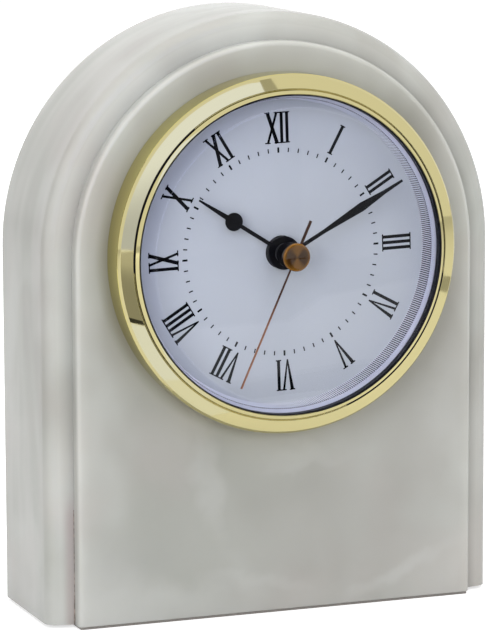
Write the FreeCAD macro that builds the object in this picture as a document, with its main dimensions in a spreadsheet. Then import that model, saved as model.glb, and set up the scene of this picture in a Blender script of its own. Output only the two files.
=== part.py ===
import FreeCAD, Part
import Sketcher
import math
import os
import re

# A small stone shelf clock with a round arch, and the quartz insert that sits in its bore.
# Row frame: +Z up, the dial looks along -Y, +X is to the viewer's right, and the origin is
# the centre of the outline on the table.
# Dial frame, used for every piece of the insert: X right, Y up, Z towards the viewer, with
# its origin where the hand axis meets the front face of the stone.

doc = FreeCAD.newDocument("ShelfClock")
sheet = doc.addObject("Spreadsheet::Sheet", "Sizes")

# All sizes are in millimetres, angles in degrees.
sizes = {
    # stone case
    "case_width": 120.0,
    "case_height": 152.0,
    "case_depth": 39.0,
    "front_slab_depth": 3.6,
    "ledge_width": 6.9,
    "ledge_fall": 1.0,
    "moulding_radius": 3.2,
    "front_edge_radius": 1.3,
    "back_edge_radius": 0.8,
    "grip_clearance": 0.1,
    "felt_thickness": 0.8,
    "felt_inset": 0.6,
    "overrun": 0.5,
    "dial_lift": 0.6,
    # bezel
    "bezel_radius": 45.0,
    "bezel_face_width": 5.2,
    "bezel_skirt_drop": 2.9,
    "bezel_lip_rise": 2.2,
    "bezel_wall": 1.1,
    "arris_step": 0.6,
    "arris_rise": 0.8,
    "bead_width": 1.4,
    "bead_crown": 0.5,
    "bead_rise": 0.7,
    "groove_width": 0.25,
    "groove_depth": 0.3,
    "lip_wall": 1.0,
    "turned_edge_width": 2.7,
    "turned_edge_thickness": 0.8,
    # domed glass and the rings round it
    "lens_rim_gap": 1.9,
    "lens_thickness": 1.2,
    "lens_rest": 0.2,
    "lens_fit": 0.2,
    "lens_wall_lean": 1.3,
    "lens_shoulder_rise": 5.9,
    "lens_shoulder_round": 1.9,
    "dome_rise": 1.6,
    "gasket_fit": 0.1,
    "gasket_height": 0.6,
    "gasket_lean": 0.9,
    "sight_ring_reveal": 0.8,
    "sight_ring_height": 4.3,
    "sight_ring_foot": 3.9,
    "sight_ring_crest": 1.0,
    "sight_ring_slope": 2.0,
    # dial and housing
    "dial_height": 2.4,
    "dial_thickness": 0.5,
    "dial_seat": 2.0,
    "dial_hole_radius": 4.2,
    "floor_thickness": 1.5,
    "housing_setback": 5.6,
    "housing_wall": 1.6,
    "housing_depth": 17.4,
    "flange_fit": 0.4,
    "grip_thickness": 1.0,
    "grip_front": 2.0,
    "grip_length": 12.0,
    "grip_rib": 0.4,
    "hook_width": 8.0,
    "hook_thickness": 1.2,
    "hook_gap": 0.2,
    "hook_nose": 1.0,
    "hook_nose_depth": 0.8,
    # movement case
    "end_wall": 2.3,
    "movement_top": 26.0,
    "movement_corner": 5.0,
    "split_lead": 0.7,
    "case_wall": 1.4,
    "case_floor": 1.2,
    "inside_corner": 2.2,
    "divider_wall": 0.9,
    "bush_radius": 4.0,
    "bush_standing": 0.8,
    "running_fit": 0.1,
    "stud_radius": 0.8,
    "shoulder_gap": 0.2,
    "keeper_step": 0.4,
    "pivot_boss_wall": 0.5,
    "blind_depth": 1.4,
    "pillar_radius": 1.4,
    "plate_fit": 0.5,
    "plate_top": 18.2,
    "plate_foot_gap": 0.55,
    "plate_thickness": 1.0,
    "pillar_inset": 2.0,
    "screw_radius": 0.7,
    "screw_head_radius": 1.7,
    "screw_head_height": 1.0,
    "screw_bite": 2.4,
    "screw_boss_radius": 2.0,
    "screw_inset": 2.6,
    "screw_drop": 4.2,
    "screw_lift": 2.95,
    # battery and its contacts
    "cell_radius": 7.25,
    "cell_length": 49.4,
    "cell_shoulder": 1.0,
    "terminal_radius": 2.75,
    "terminal_length": 1.0,
    "cell_clearance": 0.2,
    "cell_drop": 18.5,
    "contact_thickness": 0.4,
    "contact_width": 9.0,
    "contact_length": 10.0,
    "contact_gap": 0.1,
    # layers of the train
    "wheel_thickness": 0.8,
    "pinion_overhang": 0.2,
    "layer_gap": 0.4,
    "coil_room": 0.5,
    # wheel positions about the hand axis
    "third_distance": 10.2,
    "third_bearing": 175.0,
    "intermediate_distance": 8.75,
    "intermediate_bearing": 80.0,
    "rotor_distance": 6.6,
    "rotor_bearing": 90.0,
    "motion_distance": 10.8,
    "motion_bearing": 0.0,
    "setting_bearing": 45.0,
    # arbors and tubes
    "seconds_arbor_radius": 0.5,
    "minute_tube_radius": 1.75,
    "hour_tube_radius": 2.5,
    "pivot_radius": 0.4,
    "rotor_pivot_radius": 0.35,
    "setting_stem_radius": 1.2,
    "setting_pivot_radius": 0.7,
    "knob_radius": 5.2,
    "knob_height": 3.6,
    "knob_gap": 0.4,
    "knob_edge": 0.5,
    "seconds_boss_length": 2.2,
    "intermediate_boss_length": 2.0,
    "rotor_boss_length": 1.5,
    "clutch_radius": 3.2,
    "clutch_thickness": 0.3,
    # stepper motor and circuit
    "magnet_radius": 2.6,
    "magnet_length": 1.8,
    "stator_gap": 0.7,
    "stator_thickness": 0.8,
    "stator_setback": 0.5,
    "stator_half_width": 11.5,
    "stator_limb": 3.0,
    "stator_wing": 4.1,
    "stator_post_radius": 1.2,
    "core_half_height": 0.8,
    "coil_rise": 22.0,
    "coil_length": 16.0,
    "bobbin_radius": 1.3,
    "bobbin_bore": 0.9,
    "bobbin_flange": 0.6,
    "flange_radius": 2.5,
    "winding_radius": 2.3,
    "board_left": 25.5,
    "board_right": 12.0,
    "board_foot": 8.5,
    "board_top": 19.3,
    "board_thickness": 1.0,
    "chip_radius": 2.6,
    "chip_height": 0.9,
    "crystal_radius": 1.0,
    "crystal_length": 6.0,
    "chip_inset": 3.8,
    "crystal_inset": 2.4,
    # hands
    "hour_hand_length": 26.6,
    "hour_hand_lift": 2.2,
    "hour_hub_radius": 4.2,
    "hour_disc_distance": 15.8,
    "hour_disc_radius": 2.3,
    "hand_arm_width": 1.0,
    "hour_point_width": 1.5,
    "hand_tip_width": 0.5,
    "minute_hand_length": 35.1,
    "minute_hand_lift": 5.1,
    "minute_hub_radius": 3.1,
    "minute_arm_length": 11.0,
    "minute_arm_width": 0.96,
    "minute_wide_distance": 22.5,
    "minute_wide_width": 2.3,
    "minute_neck_distance": 29.5,
    "minute_neck_width": 1.0,
    "minute_tip_width": 0.6,
    "hand_thickness": 0.35,
    "second_hand_length": 35.2,
    "second_hand_lift": 9.9,
    "second_tail_length": 9.7,
    "second_tail_width": 0.7,
    "second_hand_width": 0.45,
    "second_hand_thickness": 0.25,
    "second_socket_radius": 1.1,
    "second_socket_length": 2.6,
    "second_cap_radius": 3.5,
    "second_cap_height": 0.9,
    "second_cap_edge": 0.25,
    "hour_hand_bearing": 302.4,
    "minute_hand_bearing": 60.8,
    "second_hand_bearing": 204.4,
}

for row, (alias, amount) in enumerate(sizes.items(), start=1):
    sheet.set(f"A{row}", alias)
    sheet.set(f"B{row}", str(amount))
    sheet.setAlias(f"B{row}", alias)
doc.recompute()

# The outline of a tooth, as shares of the gear's module.
tooth_width_share = 0.38
tooth_tip_share = 0.6
addendum_share = 0.7
dedendum_share = 0.95
root_width_share = 1.05
root_limit_share = 0.8
flats_in_bore = 12

# Whole numbers of the train.
teeth = {
    "rotor_pinion": 10,
    "intermediate_wheel": 50,
    "intermediate_pinion": 10,
    "seconds_wheel": 60,
    "seconds_pinion": 8,
    "third_wheel": 60,
    "third_pinion": 8,
    "centre_wheel": 64,
    "cannon_pinion": 12,
    "motion_wheel": 36,
    "motion_pinion": 12,
    "hour_wheel": 48,
    "setting_pinion": 18,
}

# Sizes and places that are worked out from the driving ones, so that what fits keeps fitting.
# Heights are in front of the face of the stone, and negative behind it.
fits = {
    # the round pieces of the insert, from the bezel inwards
    "bezel_wall_inside": "bezel_radius - bezel_wall",
    "bezel_inner_radius": "bezel_radius - bezel_face_width",
    "flange_radius_outside": "bezel_wall_inside - flange_fit",
    "lens_radius": "bezel_wall_inside - lens_rim_gap",
    "lens_wall_radius": "bezel_inner_radius - lens_fit",
    "sight_ring_radius": "bezel_inner_radius - sight_ring_reveal",
    "dial_radius": "sight_ring_radius + dial_seat",
    "housing_radius": "bezel_radius - housing_setback",
    "bore_radius": "housing_radius + grip_thickness + grip_clearance",
    # heights in front of the stone
    "lens_edge_height": "dial_height + sight_ring_height + lens_rest + lens_thickness",
    "bezel_lip_height": "lens_edge_height + bezel_lip_rise",
    "bezel_skirt_height": "bezel_lip_height - bezel_skirt_drop",
    "lens_shoulder_height": "lens_edge_height + lens_shoulder_rise",
    "dome_height": "lens_shoulder_height + dome_rise",
    "hour_hand_height": "dial_height + hour_hand_lift",
    "minute_hand_height": "dial_height + minute_hand_lift",
    "second_hand_height": "dial_height + second_hand_lift",
    # the face of the stone and the hand axis in the row frame
    "face_place": "(dome_height - case_depth) / 2",
    "spring_line": "case_height - case_width / 2",
    "dial_axis_height": "spring_line + dial_lift",
    # the layers of the movement, from the dial backwards
    "movement_front": "dial_height - dial_thickness - floor_thickness",
    "case_floor_inside": "movement_front - case_floor",
    "hour_front": "case_floor_inside - layer_gap",
    "motion_front": "hour_front - wheel_thickness - layer_gap",
    "motion_back": "motion_front - wheel_thickness",
    "centre_front": "motion_back - layer_gap - clutch_thickness",
    "third_front": "centre_front - wheel_thickness - layer_gap - pinion_overhang",
    "plate_front": "third_front - wheel_thickness - layer_gap - pinion_overhang",
    "plate_back": "plate_front - plate_thickness",
    "case_split": "plate_front + split_lead",
    "seconds_front": "plate_back - layer_gap",
    "intermediate_front": "seconds_front - wheel_thickness - layer_gap",
    "magnet_front": "intermediate_front - wheel_thickness - layer_gap",
    "stator_front": "magnet_front - stator_setback",
    "stator_back": "stator_front - stator_thickness",
    "coil_axis": "stator_front - stator_thickness / 2",
    "cover_floor_inside": "coil_axis - flange_radius - coil_room",
    "movement_back": "cover_floor_inside - case_floor",
    "cell_axis": "movement_back + cell_radius",
    "stud_end": "motion_back - shoulder_gap",
    "third_boss_end": "centre_front + pinion_overhang + shoulder_gap",
    "setting_boss_end": "motion_front + pinion_overhang + shoulder_gap",
    # the movement seen from the front, round its battery
    "cell_half": "(cell_length + terminal_length) / 2",
    "bay_length_half": "cell_half + contact_gap + contact_thickness",
    "bay_half": "cell_radius + cell_clearance",
    "movement_side": "bay_length_half + end_wall",
    "movement_foot": "-cell_drop - bay_half - case_wall",
    "divider_top": "-cell_drop + bay_half + divider_wall",
    "screw_side": "movement_side - case_wall - screw_inset",
    "plate_side": "screw_side - screw_boss_radius - plate_fit",
    "plate_foot": "divider_top + plate_foot_gap",
}

third_place = ("third_distance * cos(third_bearing)", "third_distance * sin(third_bearing)")
intermediate_place = (
    "intermediate_distance * cos(intermediate_bearing)",
    "intermediate_distance * sin(intermediate_bearing)",
)
rotor_place = (
    f"{intermediate_place[0]} + rotor_distance * cos(rotor_bearing)",
    f"{intermediate_place[1]} + rotor_distance * sin(rotor_bearing)",
)
motion_place = ("motion_distance * cos(motion_bearing)", "motion_distance * sin(motion_bearing)")
setting_share = (teeth["motion_wheel"] + teeth["setting_pinion"]) / (
    teeth["motion_wheel"] + teeth["cannon_pinion"]
)
setting_place = (
    f"{motion_place[0]} + motion_distance * {setting_share} * cos(setting_bearing)",
    f"{motion_place[1]} + motion_distance * {setting_share} * sin(setting_bearing)",
)


def cells(text):
    """The same expression with each size written as its cell in the sheet."""
    def written_out(word):
        if word[0] in sizes:
            return f"Sizes.{word[0]}"
        return f"({cells(fits[word[0]])})" if word[0] in fits else word[0]

    return re.sub(r"[a-z_]+", written_out, text)


def number(text):
    """The value of an expression, for shapes that are worked out here."""
    result = sheet.evalExpression(cells(text))
    return float(getattr(result, "Value", result))


def bind(item, name, text):
    item.setExpression(name, cells(text))


# Rotations that turn a piece's own Z to the viewer, or to the right.
to_viewer = FreeCAD.Rotation(FreeCAD.Vector(1, 0, 0), 90)
to_right = FreeCAD.Rotation(FreeCAD.Vector(0, 1, 0), 90)


def place(item, x="0", y="0", z="0", turn=to_viewer):
    """Put a piece at a point of the dial frame."""
    item.Placement = FreeCAD.Placement(FreeCAD.Vector(), turn)
    bind(item, "Placement.Base.x", x)
    bind(item, "Placement.Base.y", f"face_place - ({z})")
    bind(item, "Placement.Base.z", f"dial_axis_height + ({y})")
    return item


def stand(item):
    """Put a slab upright, with its own Y as the height above the table."""
    item.Placement = FreeCAD.Placement(FreeCAD.Vector(), to_viewer)
    bind(item, "Placement.Base.y", "face_place")
    return item


def new_body(label):
    body = doc.addObject("PartDesign::Body", label)
    body.Label = label
    return body


def sketch_on(body, role, offset="0"):
    """A sketch on one of the body's own planes, moved along that plane's normal."""
    sketch = body.newObject("Sketcher::SketchObject", f"{body.Name}_sketch")
    plane = next(item for item in body.Origin.OriginFeatures if item.Role == role)
    sketch.AttachmentSupport = (plane, "")
    sketch.MapMode = "FlatFace"
    bind(sketch, "AttachmentOffset.Base.z", offset)
    return sketch


def fix(sketch, geometry, point, x, y):
    """Tie one point of a sketch to two expressions."""
    for kind, text, axis in (("DistanceX", x, -2), ("DistanceY", y, -1)):
        if text == "0":
            sketch.addConstraint(Sketcher.Constraint("PointOnObject", geometry, point, axis))
        else:
            rule = Sketcher.Constraint(kind, -1, 1, geometry, point, number(text))
            bind(sketch, f"Constraints[{sketch.addConstraint(rule)}]", text)


def outline(sketch, points, bends=()):
    """A closed loop through pairs of expressions; runs in bends are arcs centred on the axis."""
    spots = [FreeCAD.Vector(number(x), number(y), 0) for x, y in points]
    runs = []
    for place_in_loop, (start, end) in enumerate(zip(spots, spots[1:] + spots[:1])):
        if place_in_loop not in bends:
            runs.append((sketch.addGeometry(Part.LineSegment(start, end), False), 1, 2))
            continue
        level = (start.Length ** 2 - end.Length ** 2) / (2 * (start.y - end.y))
        centre = FreeCAD.Vector(0, level, 0)
        ring = Part.Circle(centre, FreeCAD.Vector(0, 0, 1), (start - centre).Length)
        angles = [math.atan2(spot.y - level, spot.x) for spot in (start, end)]
        index = sketch.addGeometry(Part.ArcOfCircle(ring, min(angles), max(angles)), False)
        sketch.addConstraint(Sketcher.Constraint("PointOnObject", index, 3, -2))
        runs.append((index, 1, 2) if angles[0] < angles[1] else (index, 2, 1))
    for (index, start, end), (following, join, _), (x, y) in zip(runs, runs[1:] + runs[:1], points):
        sketch.addConstraint(Sketcher.Constraint("Coincident", index, end, following, join))
        fix(sketch, index, start, x, y)


def block(left, foot, right, top):
    """The corners of an upright rectangle."""
    return [(left, foot), (right, foot), (right, top), (left, top)]


def circle(sketch, x, y, radius):
    centre = FreeCAD.Vector(number(x), number(y), 0)
    ring = Part.Circle(centre, FreeCAD.Vector(0, 0, 1), number(radius))
    index = sketch.addGeometry(ring, False)
    fix(sketch, index, 3, x, y)
    rule = Sketcher.Constraint("Radius", index, number(radius))
    bind(sketch, f"Constraints[{sketch.addConstraint(rule)}]", radius)


def arch(sketch, half_width, foot, spring):
    """Straight sides up to the springing line, and a half circle over them."""
    half, low, high = number(half_width), number(foot), number(spring)
    corner = [
        FreeCAD.Vector(-half, low, 0),
        FreeCAD.Vector(half, low, 0),
        FreeCAD.Vector(half, high, 0),
        FreeCAD.Vector(-half, high, 0),
    ]
    crown = Part.Circle(FreeCAD.Vector(0, high, 0), FreeCAD.Vector(0, 0, 1), half)
    sketch.addGeometry(Part.LineSegment(corner[0], corner[1]), False)
    sketch.addGeometry(Part.LineSegment(corner[1], corner[2]), False)
    sketch.addGeometry(Part.ArcOfCircle(crown, 0, math.pi), False)
    sketch.addGeometry(Part.LineSegment(corner[3], corner[0]), False)
    sketch.addConstraint(Sketcher.Constraint("Coincident", 0, 2, 1, 1))
    sketch.addConstraint(Sketcher.Constraint("Coincident", 3, 2, 0, 1))
    sketch.addConstraint(Sketcher.Constraint("Tangent", 1, 2, 2, 1))
    sketch.addConstraint(Sketcher.Constraint("Tangent", 2, 2, 3, 1))
    sketch.addConstraint(Sketcher.Constraint("Horizontal", 0))
    sketch.addConstraint(Sketcher.Constraint("Vertical", 1))
    sketch.addConstraint(Sketcher.Constraint("Vertical", 3))
    fix(sketch, 0, 2, half_width, foot)
    fix(sketch, 2, 3, "0", spring)


def pad(body, sketch, length, backwards=False):
    feature = body.newObject("PartDesign::Pad", f"{body.Name}_pad")
    feature.Profile = sketch
    feature.Reversed = backwards
    bind(feature, "Length", length)
    doc.recompute()
    return feature


def pocket(body, sketch, length, forwards=False):
    feature = body.newObject("PartDesign::Pocket", f"{body.Name}_pocket")
    feature.Profile = sketch
    feature.Reversed = forwards
    bind(feature, "Length", length)
    doc.recompute()
    return feature


def edges(feature, chosen):
    """Names of the edges whose middle point passes a test."""
    found = []
    for index, edge in enumerate(feature.Shape.Edges, start=1):
        middle = edge.valueAt((edge.FirstParameter + edge.LastParameter) / 2)
        if chosen(edge, middle):
            found.append(f"Edge{index}")
    return found


def fillet(body, feature, chosen, radius):
    round_over = body.newObject("PartDesign::Fillet", f"{body.Name}_fillet")
    round_over.Base = (feature, edges(feature, chosen))
    bind(round_over, "Radius", radius)
    doc.recompute()
    return round_over


def turned(label, points, x="0", y="0", z="0", turn=to_viewer, bends=()):
    """A piece turned about its own Z: its profile is pairs of radius and height."""
    body = new_body(label)
    sketch = sketch_on(body, "XZ_Plane")
    outline(sketch, points, bends)
    feature = body.newObject("PartDesign::Revolution", f"{label}_turned")
    feature.Profile = sketch
    feature.ReferenceAxis = (sketch, ["V_Axis"])
    feature.Angle = 360
    return place(body, x, y, z, turn)


def tube(label, inner, outer, low, high, x="0", y="0", z="0", turn=to_viewer):
    return turned(label, block(inner, low, outer, high), x, y, z, turn)


def near(value, wanted):
    return abs(value - wanted) < number("overrun") / 100


slab_foot = "felt_thickness"


def make_back_slab():
    """The deep slab, with a sloping ledge and a rounded arris round its front."""
    body = new_body("case_back_slab")
    profile = sketch_on(body, "XY_Plane", "-front_slab_depth")
    arch(profile, "case_width / 2", slab_foot, "spring_line")
    blank = pad(body, profile, "case_depth - front_slab_depth", backwards=True)
    front = number("-front_slab_depth")
    foot = number(slab_foot)
    ledge = body.newObject("PartDesign::Chamfer", "case_back_slab_ledge")
    ledge.Base = (blank, edges(blank, lambda edge, mid: near(mid.z, front) and not near(mid.y, foot)))
    ledge.ChamferType = "Two distances"
    ledge.FlipDirection = True
    bind(ledge, "Size", "ledge_width")
    bind(ledge, "Size2", "ledge_fall")
    doc.recompute()
    lower = front - number("ledge_fall")
    rounded = fillet(
        body, ledge, lambda edge, mid: near(mid.z, lower) and not near(mid.y, foot), "moulding_radius"
    )
    back = number("-case_depth")
    fillet(body, rounded, lambda edge, mid: near(mid.z, back) and not near(mid.y, foot), "back_edge_radius")
    bore = sketch_on(body, "XY_Plane")
    circle(bore, "0", "dial_axis_height", "bore_radius")
    pocket(body, bore, "case_depth + overrun")
    return stand(body)


def make_front_slab():
    """The thin slab glued on the front, smaller all round by the width of the ledge."""
    body = new_body("case_front_slab")
    profile = sketch_on(body, "XY_Plane")
    arch(profile, "case_width / 2 - ledge_width", slab_foot, "spring_line")
    blank = pad(body, profile, "front_slab_depth", backwards=True)
    foot = number(slab_foot)
    fillet(body, blank, lambda edge, mid: near(mid.z, 0) and not near(mid.y, foot), "front_edge_radius")
    bore = sketch_on(body, "XY_Plane", "overrun")
    circle(bore, "0", "dial_axis_height", "bore_radius")
    pocket(body, bore, "front_slab_depth + 2 * overrun")
    return stand(body)


def make_base_felt():
    felt = doc.addObject("Part::Box", "base_felt")
    bind(felt, "Length", "case_width - 2 * ledge_width - 2 * felt_inset")
    bind(felt, "Width", "case_depth - 2 * felt_inset")
    bind(felt, "Height", "felt_thickness")
    bind(felt, "Placement.Base.x", "-case_width / 2 + ledge_width + felt_inset")
    bind(felt, "Placement.Base.y", "face_place + felt_inset")
    return felt


def make_bezel():
    """A pressed brass ring: skirt, coned face, groove and bead, and an edge turned in behind."""
    skirt_top = "bezel_skirt_height + arris_rise"
    bead_foot = "bezel_lip_height - bead_rise"
    bead_outer = "bezel_inner_radius + bead_width"
    wall_inside = "bezel_wall_inside"
    return turned("bezel", [
        ("bezel_radius", "0"),
        ("bezel_radius", "bezel_skirt_height"),
        ("bezel_radius - arris_step", skirt_top),
        (f"{bead_outer} + groove_width", bead_foot),
        (bead_outer, f"{bead_foot} - groove_depth"),
        (f"{bead_outer} - groove_width", f"{bead_foot} + groove_depth"),
        (f"{bead_outer} - bead_crown", "bezel_lip_height"),
        ("bezel_inner_radius + groove_width", "bezel_lip_height"),
        ("bezel_inner_radius", "bezel_lip_height - groove_depth"),
        ("bezel_inner_radius", "bezel_lip_height - lip_wall"),
        (bead_outer, f"{bead_foot} - groove_depth - groove_width"),
        (wall_inside, "bezel_skirt_height - groove_width"),
        (wall_inside, "turned_edge_thickness"),
        (f"{wall_inside} - turned_edge_width", "turned_edge_thickness"),
        (f"{wall_inside} - turned_edge_width", "0"),
    ])


def make_lens():
    """A moulded glass of even thickness: flat rim, steep wall, rounded shoulder and low dome."""
    shoulder = "(lens_wall_radius - lens_wall_lean)"
    base = "(lens_edge_height - lens_thickness)"
    apex, outer_end, inner_end = ("0", "dome_height"), 0, 6
    body = turned("lens", [
        apex,
        (shoulder, "lens_shoulder_height"),
        ("lens_wall_radius", "lens_edge_height"),
        ("lens_radius", "lens_edge_height"),
        ("lens_radius", base),
        ("lens_wall_radius - lens_thickness", base),
        (f"{shoulder} - lens_thickness", "lens_shoulder_height - lens_thickness"),
        ("0", "dome_height - lens_thickness"),
    ], bends=(outer_end, inner_end))
    doc.recompute()
    blank = body.Tip
    height, radius, wall = number("lens_shoulder_height"), number(shoulder), number("lens_thickness")
    outer = fillet(
        body, blank,
        lambda edge, mid: near(mid.z, height) and near(math.hypot(mid.x, mid.y), radius),
        "lens_shoulder_round",
    )
    fillet(
        body, outer,
        lambda edge, mid: near(mid.z, height - wall) and near(math.hypot(mid.x, mid.y), radius - wall),
        "lens_shoulder_round - lens_thickness",
    )
    return body


def make_lens_gasket():
    """A soft ring between the edge of the glass and the wall of the bezel."""
    inner = "lens_radius + gasket_fit / 2"
    outer = "bezel_radius - bezel_wall - gasket_fit / 2"
    foot = "dial_height + sight_ring_foot"
    return turned("lens_gasket", [
        (inner, foot),
        (outer, foot),
        (outer, f"{foot} + gasket_height"),
        (inner, f"{foot} + gasket_height + gasket_lean"),
    ])


def make_sight_ring():
    """The white ring that holds the dial down and the glass up."""
    top = "dial_height + sight_ring_height"
    shoulder = "dial_height + sight_ring_foot"
    return turned("sight_ring", [
        ("sight_ring_radius", "dial_height"),
        ("flange_radius_outside", "dial_height"),
        ("flange_radius_outside", shoulder),
        ("sight_ring_radius + sight_ring_crest + sight_ring_slope", shoulder),
        ("sight_ring_radius + sight_ring_crest", top),
        ("sight_ring_radius", top),
    ])


def make_dial():
    low = "dial_height - dial_thickness"
    return tube("dial_plate", "dial_hole_radius", "dial_radius", low, "dial_height")


def make_housing():
    """The cup that carries the dial in front and the movement behind, with two snap hooks."""
    seat = "(dial_height - dial_thickness)"
    inner = "housing_radius - housing_wall"
    body = turned("insert_housing", [
        ("dial_hole_radius", "movement_front"),
        (inner, "movement_front"),
        (inner, "movement_front - housing_depth"),
        ("housing_radius", "movement_front - housing_depth"),
        ("housing_radius", "turned_edge_thickness"),
        ("flange_radius_outside", "turned_edge_thickness"),
        ("flange_radius_outside", seat),
        ("dial_hole_radius", seat),
    ])
    doc.recompute()
    near_face = "(movement_side + hook_gap)"
    far_face = f"({near_face} + hook_thickness)"
    half = "hook_width / 2"
    leg_end = "(movement_back - hook_gap - hook_nose_depth)"
    legs = sketch_on(body, "XY_Plane", "movement_front")
    outline(legs, block(near_face, f"-{half}", far_face, half))
    outline(legs, block(f"-{far_face}", f"-{half}", f"-{near_face}", half))
    pad(body, legs, f"movement_front - {leg_end}", backwards=True)
    noses = sketch_on(body, "XY_Plane", leg_end)
    reach = f"({near_face} - hook_nose)"
    outline(noses, block(reach, f"-{half}", far_face, half))
    outline(noses, block(f"-{far_face}", f"-{half}", f"-{reach}", half))
    pad(body, noses, "hook_nose_depth")
    return body


def make_grip_band():
    """A soft band round the housing, with three lips that grip the bore."""
    outer = "housing_radius + grip_thickness"
    land = f"({outer} - grip_rib)"
    bands = 5
    points = [("housing_radius", "-grip_front")]
    for band in range(bands):
        radius = land if band % 2 else outer
        points.append((radius, f"-grip_front - grip_length * {band} / {bands}"))
        points.append((radius, f"-grip_front - grip_length * {band + 1} / {bands}"))
    points.append(("housing_radius", "-grip_front - grip_length"))
    return turned("grip_band", points)


def posts(body, spots, radius, start, length, backwards=False):
    """Round posts on a face."""
    sketch = sketch_on(body, "XY_Plane", start)
    for x, y in spots:
        circle(sketch, x, y, radius)
    return pad(body, sketch, length, backwards)


def holes(body, spots, radius, start, depth, forwards=False):
    """Round holes from a face."""
    sketch = sketch_on(body, "XY_Plane", start)
    for x, y in spots:
        circle(sketch, x, y, radius)
    return pocket(body, sketch, depth, forwards)


centre_place = ("0", "0")
screw_places = [
    (f"{side}(screw_side)", height)
    for side in ("-", "")
    for height in ("movement_top - screw_drop", "divider_top + screw_lift")
]
bay = block(
    "-bay_length_half", "-cell_drop - bay_half", "bay_length_half", "-cell_drop + bay_half"
)


def train_room():
    """The room for the wheels, above the battery, with its corners cut off."""
    side = "(movement_side - case_wall)"
    top = "(movement_top - case_wall)"
    return [
        (f"-{side} + inside_corner", "divider_top"),
        (f"{side} - inside_corner", "divider_top"),
        (side, "divider_top + inside_corner"),
        (side, f"{top} - inside_corner"),
        (f"{side} - inside_corner", top),
        (f"-{side} + inside_corner", top),
        (f"-{side}", f"{top} - inside_corner"),
        (f"-{side}", "divider_top + inside_corner"),
    ]


def movement_shell(label, front, back):
    """A block with the outline of the movement, rounded at its four corners."""
    body = new_body(label)
    profile = sketch_on(body, "XY_Plane", front)
    outline(profile, block("-movement_side", "movement_foot", "movement_side", "movement_top"))
    blank = pad(body, profile, f"{front} - {back}", backwards=True)
    side, foot, top = number("movement_side"), number("movement_foot"), number("movement_top")

    def corner(edge, middle):
        return near(abs(middle.x), side) and (near(middle.y, foot) or near(middle.y, top))

    fillet(body, blank, corner, "movement_corner")
    return body


def make_front_case():
    """The front half of the movement case, with the posts and studs that carry the train."""
    body = movement_shell("movement_front_case", "movement_front", "case_split")
    hollow = sketch_on(body, "XY_Plane", "case_split")
    outline(hollow, train_room())
    outline(hollow, bay)
    pocket(body, hollow, "case_floor_inside - case_split", forwards=True)
    holes(body, [centre_place], "bush_radius", "movement_front", "case_floor + overrun")
    inside = "case_floor_inside"
    column = "plate_side - pillar_inset"
    pillars = [(x, y) for x in (f"-({column})", column)
               for y in ("plate_foot + pillar_inset", "plate_top - pillar_inset")]
    posts(body, pillars, "pillar_radius", inside, f"{inside} - plate_front", backwards=True)
    posts(body, [motion_place], "stud_radius", inside, f"{inside} - stud_end", backwards=True)
    third_hole = "pivot_radius + running_fit"
    posts(body, [third_place], f"{third_hole} + pivot_boss_wall", inside,
          f"{inside} - third_boss_end", backwards=True)
    holes(body, [third_place], third_hole, "third_boss_end", "blind_depth", forwards=True)
    setting_hole = "setting_pivot_radius + running_fit"
    posts(body, [setting_place], f"{setting_hole} + pivot_boss_wall", inside,
          f"{inside} - setting_boss_end", backwards=True)
    holes(body, [setting_place], setting_hole, "setting_boss_end", "blind_depth", forwards=True)
    posts(body, screw_places, "screw_boss_radius", inside, f"{inside} - case_split", backwards=True)
    holes(body, screw_places, "screw_radius", "case_split", "screw_bite + running_fit", forwards=True)
    return place(body)


def make_back_cover():
    """The back half of the movement case: rear pivots, screw posts and the open battery bay."""
    body = movement_shell("movement_back_cover", "case_split", "movement_back")
    room = sketch_on(body, "XY_Plane", "case_split")
    outline(room, train_room())
    pocket(body, room, "case_split - cover_floor_inside")
    opening = sketch_on(body, "XY_Plane", "case_split")
    outline(opening, bay)
    pocket(body, opening, "case_split - movement_back + overrun")
    inside = "cover_floor_inside"
    for spot, radius, length in (
        (centre_place, "seconds_arbor_radius", "seconds_boss_length"),
        (intermediate_place, "pivot_radius", "intermediate_boss_length"),
        (rotor_place, "rotor_pivot_radius", "rotor_boss_length"),
    ):
        hole = f"{radius} + running_fit"
        posts(body, [spot], f"{hole} + pivot_boss_wall", inside, length)
        holes(body, [spot], hole, f"{inside} + {length}", "blind_depth")
    rest = "stator_half_width - stator_limb / 2"
    rests = [(f"{side}({rest})", f"{rotor_place[1]} - stator_wing + stator_limb / 2") for side in ("-", "")]
    posts(body, rests, "stator_post_radius", inside, f"stator_back - {inside}")
    posts(body, screw_places, "screw_boss_radius", inside, f"case_split - {inside}")
    holes(body, screw_places, "screw_radius", "case_split", "case_split - movement_back + overrun")
    stem = "setting_stem_radius + running_fit"
    holes(body, [setting_place], stem, inside, "case_floor + overrun")
    return place(body)


def make_screws():
    """Four small screws that close the movement case from behind."""
    pieces = []
    for index, (x, y) in enumerate(screw_places):
        for part, radius, length, lift in (
            ("head", "screw_head_radius", "screw_head_height", "-screw_head_height"),
            ("shank", "screw_radius", "case_split + screw_bite - movement_back", "0"),
        ):
            rod = doc.addObject("Part::Cylinder", f"screw_{part}_{index}")
            bind(rod, "Radius", radius)
            bind(rod, "Height", length)
            pieces.append(place(rod, x, y, f"movement_back + {lift}"))
    screws = doc.addObject("Part::MultiFuse", "movement_screws")
    screws.Shapes = pieces
    return screws


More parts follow.
